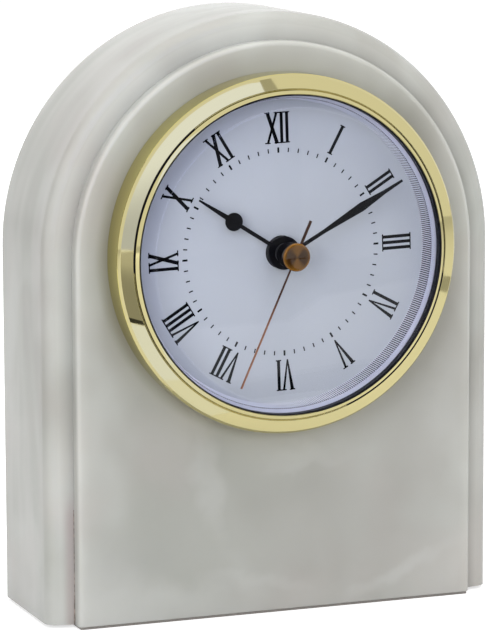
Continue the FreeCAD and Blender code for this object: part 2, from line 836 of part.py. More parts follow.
def make_train_plate():
    """The middle plate: pivots for the arbors, and a post that keeps the minute-work wheel on its stud."""
    body = new_body("train_plate")
    profile = sketch_on(body, "XY_Plane", "plate_front")
    outline(profile, block("-plate_side", "plate_foot", "plate_side", "plate_top"))
    pad(body, profile, "plate_thickness", backwards=True)
    for spot, radius in (
        (third_place, "pivot_radius"),
        (centre_place, "seconds_arbor_radius"),
        (intermediate_place, "pivot_radius"),
        (rotor_place, "rotor_pivot_radius"),
        (setting_place, "setting_stem_radius"),
    ):
        holes(body, [spot], f"{radius} + running_fit", "plate_front", "plate_thickness + overrun")
    posts(body, [motion_place], "stud_radius + keeper_step", "plate_front", "stud_end - plate_front")
    return place(body)


def make_bush():
    """The threaded bush that the hands come out through."""
    return tube(
        "centre_bush", "hour_tube_radius + running_fit", "bush_radius",
        "case_floor_inside", "dial_height + bush_standing",
    )


def toothed_face(count, module, phase):
    """A flat face with straight-sided teeth, one of them pointing along the phase."""
    pitch = count * module / 2
    tip = pitch + addendum_share * module
    root = pitch - dedendum_share * module
    half = tooth_width_share * math.pi * module / 2
    root_half = min(half * root_width_share / root, math.pi / count * root_limit_share)
    points = []
    for tooth in range(count):
        middle = math.radians(phase) + 2 * math.pi * tooth / count
        for radius, lean in (
            (root, -root_half),
            (pitch, -half / pitch),
            (tip, -half * tooth_tip_share / tip),
            (tip, half * tooth_tip_share / tip),
            (pitch, half / pitch),
            (root, root_half),
        ):
            angle = middle + lean
            points.append(FreeCAD.Vector(radius * math.cos(angle), radius * math.sin(angle), 0))
    return Part.Face(Part.makePolygon(points + points[:1]))


def bore_face(radius):
    """A many-sided hole whose flats touch a round arbor."""
    corner = radius / math.cos(math.pi / flats_in_bore)
    points = []
    for step in range(flats_in_bore + 1):
        angle = 2 * math.pi * step / flats_in_bore
        points.append(FreeCAD.Vector(corner * math.cos(angle), corner * math.sin(angle), 0))
    return Part.Face(Part.makePolygon(points))


def gear(label, layers, bore, spot=centre_place):
    """Toothed layers on one bore: each is its tooth count, module, phase, front and back."""
    solid = None
    for count, module, phase, front, back in layers:
        face = toothed_face(count, module, phase).cut(bore_face(number(bore)))
        face.translate(FreeCAD.Vector(0, 0, number(back)))
        layer = face.extrude(FreeCAD.Vector(0, 0, number(front) - number(back)))
        solid = layer if solid is None else solid.fuse(layer)
    item = doc.addObject("Part::Feature", label)
    item.Shape = solid.removeSplitter()
    return place(item, *spot)


def module_of(distance, one, other):
    return 2 * number(distance) / (teeth[one] + teeth[other])


def facing(bearing, count):
    """The phase of a gear whose gap takes the tooth that points at it along a bearing."""
    return bearing + 180 + 180 / count


third_way = number("third_bearing")
intermediate_way = number("intermediate_bearing")
rotor_way = number("rotor_bearing")
motion_way = number("motion_bearing")
setting_way = number("setting_bearing")
step = "pinion_overhang"
wheel = "wheel_thickness"


def make_gears():
    """The whole train, from the rotor to the hour wheel, and the setting pinion."""
    rotor_module = module_of("rotor_distance", "rotor_pinion", "intermediate_wheel")
    intermediate_module = module_of("intermediate_distance", "intermediate_pinion", "seconds_wheel")
    third_module = module_of("third_distance", "seconds_pinion", "third_wheel")
    centre_module = module_of("third_distance", "third_pinion", "centre_wheel")
    motion_module = module_of("motion_distance", "cannon_pinion", "motion_wheel")
    hour_module = module_of("motion_distance", "motion_pinion", "hour_wheel")
    count = teeth["rotor_pinion"]
    gear("rotor_pinion", [(
        count, rotor_module, facing(rotor_way, count),
        f"intermediate_front + {step}", f"intermediate_front - {wheel} - {step}",
    )], "rotor_pivot_radius", rotor_place)
    count = teeth["intermediate_pinion"]
    gear("intermediate_wheel", [
        (teeth["intermediate_wheel"], rotor_module, rotor_way,
         "intermediate_front", f"intermediate_front - {wheel}"),
        (count, intermediate_module, facing(intermediate_way, count),
         f"seconds_front + {step}", "intermediate_front"),
    ], "pivot_radius", intermediate_place)
    gear("seconds_wheel", [(
        teeth["seconds_wheel"], intermediate_module, intermediate_way,
        "seconds_front", f"seconds_front - {wheel}",
    )], "seconds_arbor_radius")
    gear("seconds_pinion", [(
        teeth["seconds_pinion"], third_module, third_way,
        f"third_front + {step}", f"third_front - {wheel} - {step}",
    )], "seconds_arbor_radius")
    count = teeth["third_pinion"]
    gear("third_wheel", [
        (teeth["third_wheel"], third_module, facing(third_way, teeth["third_wheel"]),
         "third_front", f"third_front - {wheel}"),
        (count, centre_module, facing(third_way, count), f"centre_front + {step}", "third_front"),
    ], "pivot_radius", third_place)
    gear("centre_wheel", [(
        teeth["centre_wheel"], centre_module, third_way, "centre_front", f"centre_front - {wheel}",
    )], "minute_tube_radius")
    cannon = teeth["cannon_pinion"]
    gear("cannon_pinion", [(
        cannon, motion_module, motion_way + 180 / cannon,
        f"motion_front + {step}", f"motion_front - {wheel} - {step}",
    )], "minute_tube_radius")
    gear("minute_work_wheel", [
        (teeth["motion_wheel"], motion_module, motion_way + 180,
         "motion_front", f"motion_front - {wheel}"),
        (teeth["motion_pinion"], hour_module, motion_way + 180,
         f"hour_front + {step}", "motion_front"),
    ], "stud_radius + running_fit", motion_place)
    hours = teeth["hour_wheel"]
    gear("hour_wheel", [(
        hours, hour_module, motion_way + 180 / hours, "hour_front", f"hour_front - {wheel}",
    )], "hour_tube_radius")
    setter = teeth["setting_pinion"]
    lead = teeth["motion_wheel"] * (motion_way + 180 - setting_way)
    gear("setting_pinion", [(
        setter, motion_module, setting_way + 180 - (lead + 180) / setter,
        f"motion_front + {step}", f"motion_front - {wheel} - {step}",
    )], "setting_stem_radius", setting_place)


def make_arbors():
    """Arbors, tubes and the setting stem."""
    blind_end = "cover_floor_inside - blind_depth + running_fit"
    tube("seconds_arbor", "0", "seconds_arbor_radius", f"{blind_end} + seconds_boss_length",
         "second_hand_height")
    tube("minute_tube", "seconds_arbor_radius + running_fit", "minute_tube_radius",
         f"centre_front - {wheel} - {step}", "minute_hand_height + running_fit")
    tube("hour_tube", "minute_tube_radius + running_fit", "hour_tube_radius",
         f"hour_front - {wheel}", "hour_hand_height + running_fit")
    third_pivot_end = "third_boss_end + blind_depth - running_fit"
    tube("third_arbor", "0", "pivot_radius", "plate_back", third_pivot_end, *third_place)
    tube("intermediate_arbor", "0", "pivot_radius", f"{blind_end} + intermediate_boss_length",
         "plate_front", *intermediate_place)
    tube("rotor_arbor", "0", "rotor_pivot_radius", f"{blind_end} + rotor_boss_length",
         "plate_front", *rotor_place)
    shoulder = "setting_boss_end - running_fit"
    stem_front = "setting_boss_end + blind_depth - running_fit"
    knob_back = "movement_back - knob_gap - knob_height"
    turned("setting_stem", [
        ("0", knob_back),
        ("setting_stem_radius", knob_back),
        ("setting_stem_radius", shoulder),
        ("setting_pivot_radius", shoulder),
        ("setting_pivot_radius", stem_front),
        ("0", stem_front),
    ], *setting_place)
    turned("setting_knob", [
        ("setting_stem_radius", knob_back),
        ("knob_radius - knob_edge", knob_back),
        ("knob_radius", f"{knob_back} + knob_edge"),
        ("knob_radius", f"{knob_back} + knob_height"),
        ("setting_stem_radius", f"{knob_back} + knob_height"),
    ], *setting_place)
    tube("clutch_spring", "minute_tube_radius", "clutch_radius",
         "centre_front", "centre_front + clutch_thickness")


def make_motor():
    """The stepper motor: a magnet on the rotor, a stator frame, and the coil on its top bar."""
    tube("rotor_magnet", "rotor_pivot_radius", "magnet_radius", "magnet_front - magnet_length",
         "magnet_front", *rotor_place)
    body = new_body("stator")
    profile = sketch_on(body, "XY_Plane", "stator_front")
    low = f"{rotor_place[1]} - stator_wing"
    high = f"{rotor_place[1]} + stator_wing"
    leg = "(stator_half_width - stator_limb)"
    bar_top = "coil_rise + core_half_height"
    outline(profile, block("-stator_half_width", low, "stator_half_width", bar_top))
    outline(profile, block(f"-{leg}", high, leg, "coil_rise - core_half_height"))
    circle(profile, *rotor_place, "magnet_radius + stator_gap")
    pad(body, profile, "stator_thickness", backwards=True)
    place(body)
    far = "coil_length / 2"
    neck = f"({far} - bobbin_flange)"
    turned("coil_bobbin", [
        ("bobbin_bore", f"-{far}"),
        ("flange_radius", f"-{far}"),
        ("flange_radius", f"-{neck}"),
        ("bobbin_radius", f"-{neck}"),
        ("bobbin_radius", neck),
        ("flange_radius", neck),
        ("flange_radius", far),
        ("bobbin_bore", far),
    ], "0", "coil_rise", "coil_axis", to_right)
    tube("coil_winding", "bobbin_radius", "winding_radius", f"-{neck}", neck,
         "0", "coil_rise", "coil_axis", to_right)


def box(label, x, y, z, length, width, height):
    item = doc.addObject("Part::Box", label)
    bind(item, "Length", length)
    bind(item, "Width", width)
    bind(item, "Height", height)
    return place(item, x, y, z)


def make_circuit():
    """The circuit board on the inside of the back cover, its chip and its quartz crystal."""
    board_front = "(cover_floor_inside + board_thickness)"
    box("circuit_board", "-board_left", "board_foot", "cover_floor_inside",
        "board_left - board_right", "board_top - board_foot", "board_thickness")
    tube("circuit_chip", "0", "chip_radius", "0", "chip_height",
         "-board_left + chip_inset", "board_top - chip_inset", board_front)
    tube("quartz_crystal", "0", "crystal_radius", "-crystal_length / 2", "crystal_length / 2",
         "-(board_left + board_right) / 2", "board_foot + crystal_inset",
         f"{board_front} + crystal_radius", to_right)


def make_battery():
    """One AA cell on its side, and the two leaf contacts at its ends."""
    left = "-cell_half"
    shoulder = "(cell_half - terminal_length)"
    spot = ("0", "-cell_drop", "cell_axis", to_right)
    turned("battery_can", [
        ("0", left),
        ("cell_radius", left),
        ("cell_radius", f"{shoulder} - cell_shoulder"),
        ("cell_radius - cell_shoulder", shoulder),
        ("0", shoulder),
    ], *spot)
    tube("battery_terminal", "0", "terminal_radius", shoulder, "cell_half", *spot)
    foot = "-cell_drop - contact_width / 2"
    depth = "cell_axis - contact_length / 2"
    size = ("contact_thickness", "contact_width", "contact_length")
    box("contact_positive", "cell_half + contact_gap", foot, depth, *size)
    box("contact_negative", "-bay_length_half", foot, depth, *size)


def hand_body(label, hub, height, thickness):
    """The round hub of a hand."""
    body = new_body(label)
    posts(body, [centre_place], hub, f"{height} - {thickness}", thickness)
    return body


def blade(body, points, height, thickness):
    """A flat arm, from its points on the right side, mirrored to the left."""
    sketch = sketch_on(body, "XY_Plane", f"{height} - {thickness}")
    outline(sketch, points + [(f"-{x}", y) for x, y in reversed(points)])
    return pad(body, sketch, thickness)


def aim(body, bearing):
    """Turn a hand clockwise to its bearing on the dial."""
    twist = FreeCAD.Rotation(FreeCAD.Vector(0, 0, 1), -number(bearing))
    return place(body, turn=to_viewer.multiply(twist))


def make_hands():
    """Hour, minute and second hands, and the cap on the second hand."""
    height, thickness = "hour_hand_height", "hand_thickness"
    body = hand_body("hour_hand", "hour_hub_radius", height, thickness)
    blade(body, [("hand_arm_width / 2", "0"), ("hand_arm_width / 2", "hour_disc_distance")],
          height, thickness)
    posts(body, [("0", "hour_disc_distance")], "hour_disc_radius", f"{height} - {thickness}", thickness)
    blade(body, [("hour_point_width / 2", "hour_disc_distance"), ("hand_tip_width / 2", "hour_hand_length")],
          height, thickness)
    holes(body, [centre_place], "hour_tube_radius", height, f"{thickness} + overrun")
    aim(body, "hour_hand_bearing")
    height = "minute_hand_height"
    body = hand_body("minute_hand", "minute_hub_radius", height, thickness)
    blade(body, [
        ("minute_arm_width / 2", "0"),
        ("minute_arm_width / 2", "minute_arm_length"),
        ("minute_wide_width / 2", "minute_wide_distance"),
        ("minute_neck_width / 2", "minute_neck_distance"),
        ("minute_tip_width / 2", "minute_hand_length"),
    ], height, thickness)
    holes(body, [centre_place], "minute_tube_radius", height, f"{thickness} + overrun")
    aim(body, "minute_hand_bearing")
    height, thickness = "second_hand_height", "second_hand_thickness"
    body = hand_body("second_hand", "second_socket_radius", height, "second_socket_length")
    blade(body, [
        ("second_tail_width / 2", "-second_tail_length"),
        ("second_tail_width / 2", "0"),
        ("second_hand_width / 2", "second_socket_radius"),
        ("second_hand_width / 2", "second_hand_length"),
    ], height, thickness)
    holes(body, [centre_place], "seconds_arbor_radius", height, "second_socket_length + overrun")
    aim(body, "second_hand_bearing")
    top = "second_hand_height + second_cap_height"
    turned("second_hand_cap", [
        ("0", "second_hand_height"),
        ("second_cap_radius", "second_hand_height"),
        ("second_cap_radius", f"{top} - second_cap_edge"),
        ("second_cap_radius - second_cap_edge", top),
        ("0", top),
    ])


for make in (
    make_back_slab, make_front_slab, make_base_felt, make_bezel, make_lens, make_lens_gasket,
    make_sight_ring, make_dial, make_housing, make_grip_band, make_front_case, make_back_cover,
    make_screws, make_train_plate, make_bush, make_gears, make_arbors, make_motor, make_circuit,
    make_battery, make_hands,
):
    make()
doc.recompute()

nodes = [
    "case_back_slab", "case_front_slab", "base_felt",
    "bezel", "lens", "lens_gasket", "sight_ring", "dial_plate", "insert_housing", "grip_band",
    "movement_front_case", "movement_back_cover", "movement_screws", "centre_bush", "train_plate",
    "circuit_board", "circuit_chip", "quartz_crystal", "coil_bobbin", "coil_winding", "stator",
    "contact_positive", "contact_negative", "battery_can", "battery_terminal",
    "rotor_magnet", "rotor_pinion", "rotor_arbor", "intermediate_wheel", "intermediate_arbor",
    "seconds_wheel", "seconds_pinion", "seconds_arbor", "second_hand", "second_hand_cap",
    "third_wheel", "third_arbor", "centre_wheel", "clutch_spring", "cannon_pinion", "minute_tube",
    "minute_hand", "minute_work_wheel", "hour_wheel", "hour_tube", "hour_hand",
    "setting_pinion", "setting_stem", "setting_knob",
]

for item in doc.Objects:
    if "Invalid" in item.State or "Error" in item.State:
        raise RuntimeError(f"{item.Label} did not recompute: {item.State}")

os.makedirs("parts", exist_ok=True)
for name in nodes:
    shape = doc.getObject(name).Shape
    if shape.isNull() or not shape.isValid() or not shape.Solids:
        raise RuntimeError(f"{name} has no valid solid")
    shape.exportStep(f"parts/{name}.step")
    print(f"{name}: {len(shape.Solids)} solid(s), {shape.Volume:.1f} mm3")
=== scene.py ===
# %% [markdown]
# # A small stone shelf clock
#
# The clock is a polished stone case with a round quartz insert pressed into its bore. Its pieces come from a
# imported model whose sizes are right, so this lesson is about finish: stone that is cloudy inside, lacquered
# brass, a domed glass, a printed dial and lacquered hands.
#
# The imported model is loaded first. Everything that follows takes its place and size from it, in metres.

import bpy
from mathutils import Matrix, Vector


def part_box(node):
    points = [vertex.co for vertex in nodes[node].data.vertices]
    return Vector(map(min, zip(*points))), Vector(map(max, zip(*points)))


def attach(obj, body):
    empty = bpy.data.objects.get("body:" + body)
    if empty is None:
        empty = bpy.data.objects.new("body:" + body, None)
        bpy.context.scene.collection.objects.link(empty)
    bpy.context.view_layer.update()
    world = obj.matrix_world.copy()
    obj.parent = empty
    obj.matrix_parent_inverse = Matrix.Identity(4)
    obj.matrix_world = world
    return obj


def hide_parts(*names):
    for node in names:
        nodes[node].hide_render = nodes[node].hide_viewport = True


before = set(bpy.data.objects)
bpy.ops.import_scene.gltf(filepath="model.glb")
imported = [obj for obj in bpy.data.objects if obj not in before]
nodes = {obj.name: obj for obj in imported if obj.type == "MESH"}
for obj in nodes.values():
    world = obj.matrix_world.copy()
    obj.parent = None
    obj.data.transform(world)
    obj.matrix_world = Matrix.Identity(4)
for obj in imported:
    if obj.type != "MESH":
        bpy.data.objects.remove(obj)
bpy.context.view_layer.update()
print("pieces in the frame:", len(nodes))

# %% [markdown]
# The dial's axis runs from back to front. It is handy to write every round piece in the dial's own measures:
# how far right, how far up and how far in front of the stone face, in millimetres. One helper turns such a
# point into the model's frame.

# %% The dial's axis and a helper for places
import math

import bmesh
import bpy
import numpy as np
from mathutils import Matrix, Vector

MM = 0.001
bezel_low, bezel_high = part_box("bezel")
front_low, front_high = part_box("case_front_slab")
face_y = front_low.y
axis_height = (bezel_low.z + bezel_high.z) / 2
bezel_radius = (bezel_high.x - bezel_low.x) / 2 / MM


def dial_point(right, up, forward):
    """A point given in millimetres about the dial's axis, in the model's frame."""
    return Vector((right * MM, face_y - forward * MM, axis_height + up * MM))


def height_of(node, side):
    """How far in front of the stone face a node's front or back is, in millimetres."""
    low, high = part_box(node)
    return (face_y - (low.y if side == "front" else high.y)) / MM


dial_top = height_of("dial_plate", "front")
lip_top = height_of("bezel", "front")
print(f"axis at {axis_height / MM:.1f} mm, bezel radius {bezel_radius:.1f}, dial face at {dial_top:.2f}")

# %% [markdown]
# The camera stands where the photographer stood: a little to the left of the clock and a little above it.
# The lens is long, so the stone keeps its straight sides. A small shift slides the picture sideways without
# turning the camera, as a view camera does.

# %% The camera
image_width, image_height = 488, 635
focal_pixels = 3603.3
principal_point = (278.0, 320.3)
sensor = 36.0
camera_place = Vector((-0.32533, -0.84159, 0.2185))
camera_target = Vector((0.0, -0.0117, 0.075))
camera_roll = math.radians(-0.11)

camera_data = bpy.data.cameras.new("photo_camera")
camera_data.sensor_fit = "VERTICAL"
camera_data.sensor_height = sensor
camera_data.lens = focal_pixels / image_height * sensor
camera_data.shift_x = (image_width / 2 - principal_point[0]) / image_height
camera_data.shift_y = (principal_point[1] - image_height / 2) / image_height
camera = bpy.data.objects.new("photo_camera", camera_data)
scene = bpy.context.scene
scene.collection.objects.link(camera)
sight_line = (camera_target - camera_place).to_track_quat("-Z", "Y").to_matrix().to_4x4()
camera.matrix_world = Matrix.Translation(camera_place) @ sight_line @ Matrix.Rotation(camera_roll, 4, "Z")
scene.camera = camera
print("lens", round(camera_data.lens, 1), "mm, shift", round(camera_data.shift_x, 4))

# %% [markdown]
# The world and every material are node trees. A few helpers keep them short to write: one adds a node with
# its inputs set or linked by name, and the others multiply, mix colours, make a soft step or start a group.

# %% Helpers that build node trees
def fill(socket, value):
    """Sets a socket to a value, or links it to another node's socket."""
    if isinstance(value, bpy.types.NodeSocket):
        socket.id_data.links.new(value, socket)
    else:
        socket.default_value = value


def feed(node, **inputs):
    """Fills a node's inputs by name."""
    for name, value in inputs.items():
        fill(node.inputs[name.replace("_", " ")], value)


def add(tree, kind, **inputs):
    """One node, with the inputs that are given by name."""
    node = tree.nodes.new(kind)
    feed(node, **inputs)
    return node


def arithmetic(tree, operation, *values):
    """A Math node. Each value is a number or a socket."""
    node = tree.nodes.new("ShaderNodeMath")
    node.operation = operation
    for socket, value in zip(node.inputs, values):
        fill(socket, value)
    return node.outputs[0]


def product(tree, first, *others):
    """All the values multiplied together."""
    for other in others:
        first = arithmetic(tree, "MULTIPLY", first, other)
    return first


def blended(tree, factor, first, second, mode="MIX"):
    """A colour mix. Colours are three numbers or sockets."""
    node = tree.nodes.new("ShaderNodeMix")
    node.data_type = "RGBA"
    node.blend_type = mode
    for name, value in (("Factor_Float", factor), ("A_Color", first), ("B_Color", second)):
        socket = next(s for s in node.inputs if s.identifier == name)
        fill(socket, (*value, 1.0) if isinstance(value, tuple) else value)
    return next(s for s in node.outputs if s.identifier == "Result_Color")


def ramp(tree, value, low, high):
    """A soft step between two stops, each a value and the level there."""
    node = add(tree, "ShaderNodeMapRange", Value=value, From_Min=low[0], To_Min=low[1], From_Max=high[0],
               To_Max=high[1])
    node.interpolation_type = "SMOOTHSTEP"
    return node.outputs["Result"]


def place_of(tree):
    """The point of the piece in its own frame."""
    return add(tree, "ShaderNodeTexCoord").outputs["Object"]


def place_parts(tree):
    """The X, Y and Z of that point."""
    return add(tree, "ShaderNodeSeparateXYZ", Vector=place_of(tree)).outputs


def effect(name, inputs, outputs):
    """An empty node group with named number inputs and named outputs."""
    group = bpy.data.node_groups.new(name, "ShaderNodeTree")
    for label, value in inputs.items():
        socket = group.interface.new_socket(label, in_out="INPUT", socket_type="NodeSocketFloat")
        socket.default_value = value
    for label in outputs:
        group.interface.new_socket(label, in_out="OUTPUT", socket_type="NodeSocketFloat")
    return group, group.nodes.new("NodeGroupInput").outputs, group.nodes.new("NodeGroupOutput").inputs


print("node helpers ready")

# %% [markdown]
# The light is plain and soft, like a product tent: a big panel above, one at the left and a weak one in
# front. The world is a pale grey that fills the shadows. The camera, and polished metal and glass, see it
# as white, so the picture has a clean background and the brass has something bright to mirror. The panels
# themselves are hidden from mirrors, because a lamp's face is far brighter than white. Light that has
# already met a matt surface always gets the grey world, also through the glass, or the dial would be lit
# too much.

# %% Lights
scene.view_settings.view_transform = "Standard"
clock_middle = Vector((0.0, 0.0, 0.08))
panels = {
    "top_panel": {"place": (0.12, -0.05, 1.2), "size": (1.2, 1.0), "power": 10.0},
    "left_panel": {"place": (-0.97, -0.88, 0.5), "size": (0.8, 1.0), "power": 5.6},
    "front_panel": {"place": (0.7, -1.2, 0.5), "size": (0.9, 0.9), "power": 1.6},
}
for name, panel in panels.items():
    lamp = bpy.data.lights.new(name, "AREA")
    lamp.shape = "RECTANGLE"
    lamp.size, lamp.size_y = panel["size"]
    lamp.energy = panel["power"]
    lamp_object = bpy.data.objects.new(name, lamp)
    lamp_object.location = panel["place"]
    aim = clock_middle - Vector(panel["place"])
    lamp_object.rotation_euler = aim.to_track_quat("-Z", "Y").to_euler()
    lamp_object.visible_glossy = False
    scene.collection.objects.link(lamp_object)
print("panels:", *panels)

# %% World
fill_strength = 0.45
white_strength = 1.0
white = (1.0, 1.0, 1.0, 1.0)
first_matt_bounce = 0.5
world = bpy.data.worlds.new("tent")
scene.world = world
world.use_nodes = True
tree = world.node_tree
tree.nodes.clear()
path = add(tree, "ShaderNodeLightPath").outputs
mirrored = arithmetic(tree, "MAXIMUM", path["Is Glossy Ray"], path["Is Transmission Ray"])
seen = arithmetic(tree, "MAXIMUM", path["Is Camera Ray"], mirrored)
straight = arithmetic(tree, "LESS_THAN", path["Diffuse Depth"], first_matt_bounce)
pick = add(tree, "ShaderNodeMixShader", Fac=product(tree, seen, straight))
for index, strength in ((1, fill_strength), (2, white_strength)):
    backdrop = add(tree, "ShaderNodeBackground", Color=white, Strength=strength)
    fill(pick.inputs[index], backdrop.outputs[0])
add(tree, "ShaderNodeOutputWorld", Surface=pick.outputs[0])
print("fill light", fill_strength)

# %% [markdown]
# Materials share a few effects, and each effect is built once as a node group: slow clouds, a fine grain for
# moulded plastic, and the distance from an axis that runs from back to front. The last also serves the arch
# of the case, with its own height and with no rise below it. A group hands out only a value or a height. The
# shader itself stays in the material.

# %% Shared effects
clouds, given, result = effect("clouds", {"Size": 20.0, "Detail": 3.0, "Low": 0.4, "High": 0.6}, ["Mask"])
noise = add(
    clouds, "ShaderNodeTexNoise", Vector=place_of(clouds), Scale=given["Size"], Detail=given["Detail"]
)
levels = add(clouds, "ShaderNodeMapRange", Value=noise.outputs["Fac"], From_Min=given["Low"],
             From_Max=given["High"])
fill(result["Mask"], levels.outputs["Result"])

grain, given, result = effect("fine_grain", {"Size": 2500.0}, ["Height", "Patch"])
specks = add(grain, "ShaderNodeTexNoise", Vector=place_of(grain), Scale=given["Size"], Detail=4.0)
patches = add(grain, "ShaderNodeTexNoise", Vector=place_of(grain), Scale=90.0, Detail=3.0)
fill(result["Height"], specks.outputs["Fac"])
fill(result["Patch"], patches.outputs["Fac"])

around, given, result = effect(
    "axis_distance", {"Axis height": axis_height, "Least rise": -1.0}, ["Distance"]
)
parts = place_parts(around)
rise = arithmetic(around, "SUBTRACT", parts["Z"], given["Axis height"])
rise = arithmetic(around, "MAXIMUM", rise, given["Least rise"])
squares = arithmetic(around, "ADD", product(around, parts["X"], parts["X"]), product(around, rise, rise))
fill(result["Distance"], arithmetic(around, "SQRT", squares))
print("effects:", [group.name for group in bpy.data.node_groups])


# %% A start for every material
def new_material(name, **settings):
    """A material with one Principled shader. Returns the material, its tree and the shader."""
    material = bpy.data.materials.new(name)
    material.use_nodes = True
    tree = material.node_tree
    shader = tree.nodes["Principled BSDF"]
    feed(shader, **settings)
    return material, tree, shader


def use(tree, group, **inputs):
    """A placed group, with its own values."""
    node = tree.nodes.new("ShaderNodeGroup")
    node.node_tree = group
    feed(node, **inputs)
    return node.outputs


def bump(tree, shader, height, distance):
    """Feeds a height into the shader's normal."""
    feed(shader, Normal=add(tree, "ShaderNodeBump", Distance=distance, Height=height).outputs["Normal"])


def finish_nodes(material, *names):
    """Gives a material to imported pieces."""
    for name in names:
        slots = nodes[name].data.materials
        slots.clear()
        slots.append(material)


print("material helpers ready")

# %% [markdown]
# ## The stone
#
# The case is a pale grey-white stone, sawn from a block and polished. It could be drawn with sharp veins,
# but this stone has none: it is cloudy, with layers that run through the block from side to side. So the
# colour comes from slow noises, one of them strongly squeezed along the depth of the case. On the front that
# gives soft clouds, and on the side and the arch long streaks that follow the edge, as the saw would show
# them.

# %% Stone
stone, tree, shader = new_material(
    "cloudy_stone", IOR=1.5, Subsurface_Weight=0.35, Subsurface_Scale=0.003,
    Subsurface_Radius=(1.0, 0.95, 0.85),
)


def stone_noise(scale, detail=2.0, distortion=0.0):
    """A slow noise with its own scale along each direction."""
    squeezed = add(tree, "ShaderNodeMapping", Vector=place_of(tree), Scale=scale).outputs["Vector"]
    noise = add(tree, "ShaderNodeTexNoise", Vector=squeezed, Scale=1.0, Detail=detail, Distortion=distortion)
    return noise.outputs["Fac"]


def layered(body, layers):
    """The body colour with other colours laid over it, each with a mask and an amount."""
    for mask, amount, colour in layers:
        body = blended(tree, product(tree, mask, amount), body, colour)
    return body


pale = ramp(tree, stone_noise((12.0, 85.0, 12.0)), (0.36, 0.0), (0.64, 1.0))
shadowy = ramp(tree, stone_noise((17.0, 17.0, 17.0)), (0.40, 0.0), (0.60, 1.0))
milk = ramp(tree, stone_noise((34.0, 34.0, 26.0), distortion=0.25), (0.44, 0.0), (0.66, 1.0))
warm = use(tree, clouds, Size=30.0, Detail=2.0, Low=0.5, High=0.66)["Mask"]
off_middle = arithmetic(tree, "SUBTRACT", stone_noise((26.0, 50.0, 18.0), detail=1.0, distortion=0.4), 0.5)
vein = ramp(tree, arithmetic(tree, "ABSOLUTE", off_middle), (0.0, 1.0), (0.15, 0.0))
body = layered(blended(tree, pale, (0.455, 0.462, 0.425), (0.545, 0.545, 0.515)), [
    (shadowy, 0.5, (0.385, 0.375, 0.345)),
    (milk, 0.6, (0.590, 0.605, 0.575)),
    (warm, 0.3, (0.52, 0.465, 0.44)),
    (vein, 0.14, (0.64, 0.65, 0.62)),
])
print("stone layers ready")

# %% [markdown]
# The stone is translucent, and its colour carries painted light that follows the shape: a painted highlight
# towards the arris of the front slab and on the ledge behind it, painted shade in the inner corner between
# them, and painted shade round the bore. The distance from the middle line of the arch is the same all along
# an arch and its straight legs, so a curve says how much painted light there is at each distance.

# %% Painted light and shade along the arch and its legs
front_half, back_half = front_high.x / MM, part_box("case_back_slab")[1].x / MM
arch_height = front_high.z - front_high.x
out_from_middle = use(tree, around, Axis_height=arch_height, Least_rise=0.0)["Distance"]
glow = tree.nodes.new("ShaderNodeFloatCurve")
curve = glow.mapping.curves[0]
# Levels of painted light: a painted highlight rising towards the front arris, painted shade in the inner
# corner just outside it, and a painted highlight on the ledge. Only front-facing faces get it.
painted_light_points = [
    (0.0, 0.50), (36.0, 0.50), (46.0, 0.54), (50.0, 0.585),
    (front_half - 1.6, 0.635), (front_half - 0.4, 0.66), (front_half + 0.2, 0.53),
    (front_half + 1.4, 0.56), (front_half + 3.6, 0.66), (back_half, 0.66),
]
plain_level, painted_light_strength = 0.5, 1.5
curve.points[0].location = (0.0, plain_level)
curve.points[1].location = (1.0, plain_level)
for distance, level in painted_light_points:
    curve.points.new(distance / back_half, level)
for point in curve.points:
    point.handle_type = "VECTOR"
glow.mapping.update()
feed(glow, Value=arithmetic(tree, "DIVIDE", out_from_middle, back_half * MM))
facing = add(tree, "ShaderNodeSeparateXYZ", Vector=add(tree, "ShaderNodeNewGeometry").outputs["Normal"])
frontal = ramp(tree, facing.outputs["Y"], (-0.75, 1.0), (-0.3, 0.0))
painted_light_lift = product(tree, arithmetic(tree, "SUBTRACT", glow.outputs[0], plain_level), frontal)
painted_light_lift = arithmetic(tree, "MULTIPLY_ADD", painted_light_lift, painted_light_strength, 1.0)
grey_painted_light_lift = add(tree, "ShaderNodeCombineXYZ", X=painted_light_lift, Y=painted_light_lift, Z=painted_light_lift).outputs[0]
body = blended(tree, 1.0, body, grey_painted_light_lift, "MULTIPLY")
print("arch springs at", round(arch_height / MM, 1), "mm, half widths", front_half, back_half)

# %% Painted shade round the bore, and painted light above it
from_axis = use(tree, around)["Distance"]
parts = place_parts(tree)
above_axis = arithmetic(tree, "SUBTRACT", parts["Z"], axis_height)


def towards(clock):
    """1 on the side of the dial that a clock position names, and -1 opposite to it."""
    angle = math.radians(30 * clock)
    sideways = arithmetic(tree, "MULTIPLY", parts["X"], math.sin(angle))
    reached = arithmetic(tree, "MULTIPLY_ADD", above_axis, math.cos(angle), sideways)
    return arithmetic(tree, "DIVIDE", reached, from_axis)


def round_bore(reach):
    """A painted shade on the front that starts at the bezel and fades out at a multiple of its radius."""
    shade = ramp(tree, from_axis, (bezel_radius * MM, 1.0), (bezel_radius * reach * MM, 0.0))
    return product(tree, shade, frontal)


# The painted shade is strongest towards the lower left, where it stands for the bezel's shadow and its
# reflection in the polish. Above the bezel, the thin top of the front slab gets a band of painted light.
shaded_side = ramp(tree, towards(7.3), (-0.3, 0.0), (0.6, 0.40))
painted_light_on_top = ramp(tree, towards(0.5), (0.84, 0.0), (0.99, 0.26))
over_bezel = ramp(tree, out_from_middle, ((front_half - 1.5) * MM, 1.0), (front_half * MM, 0.0))
body = layered(body, [
    (round_bore(1.20), 0.12, (0.30, 0.28, 0.22)),
    (round_bore(1.08), shaded_side, (0.13, 0.12, 0.07)),
    (product(tree, painted_light_on_top, frontal), over_bezel, (0.72, 0.73, 0.70)),
])
print("bore shade ready")

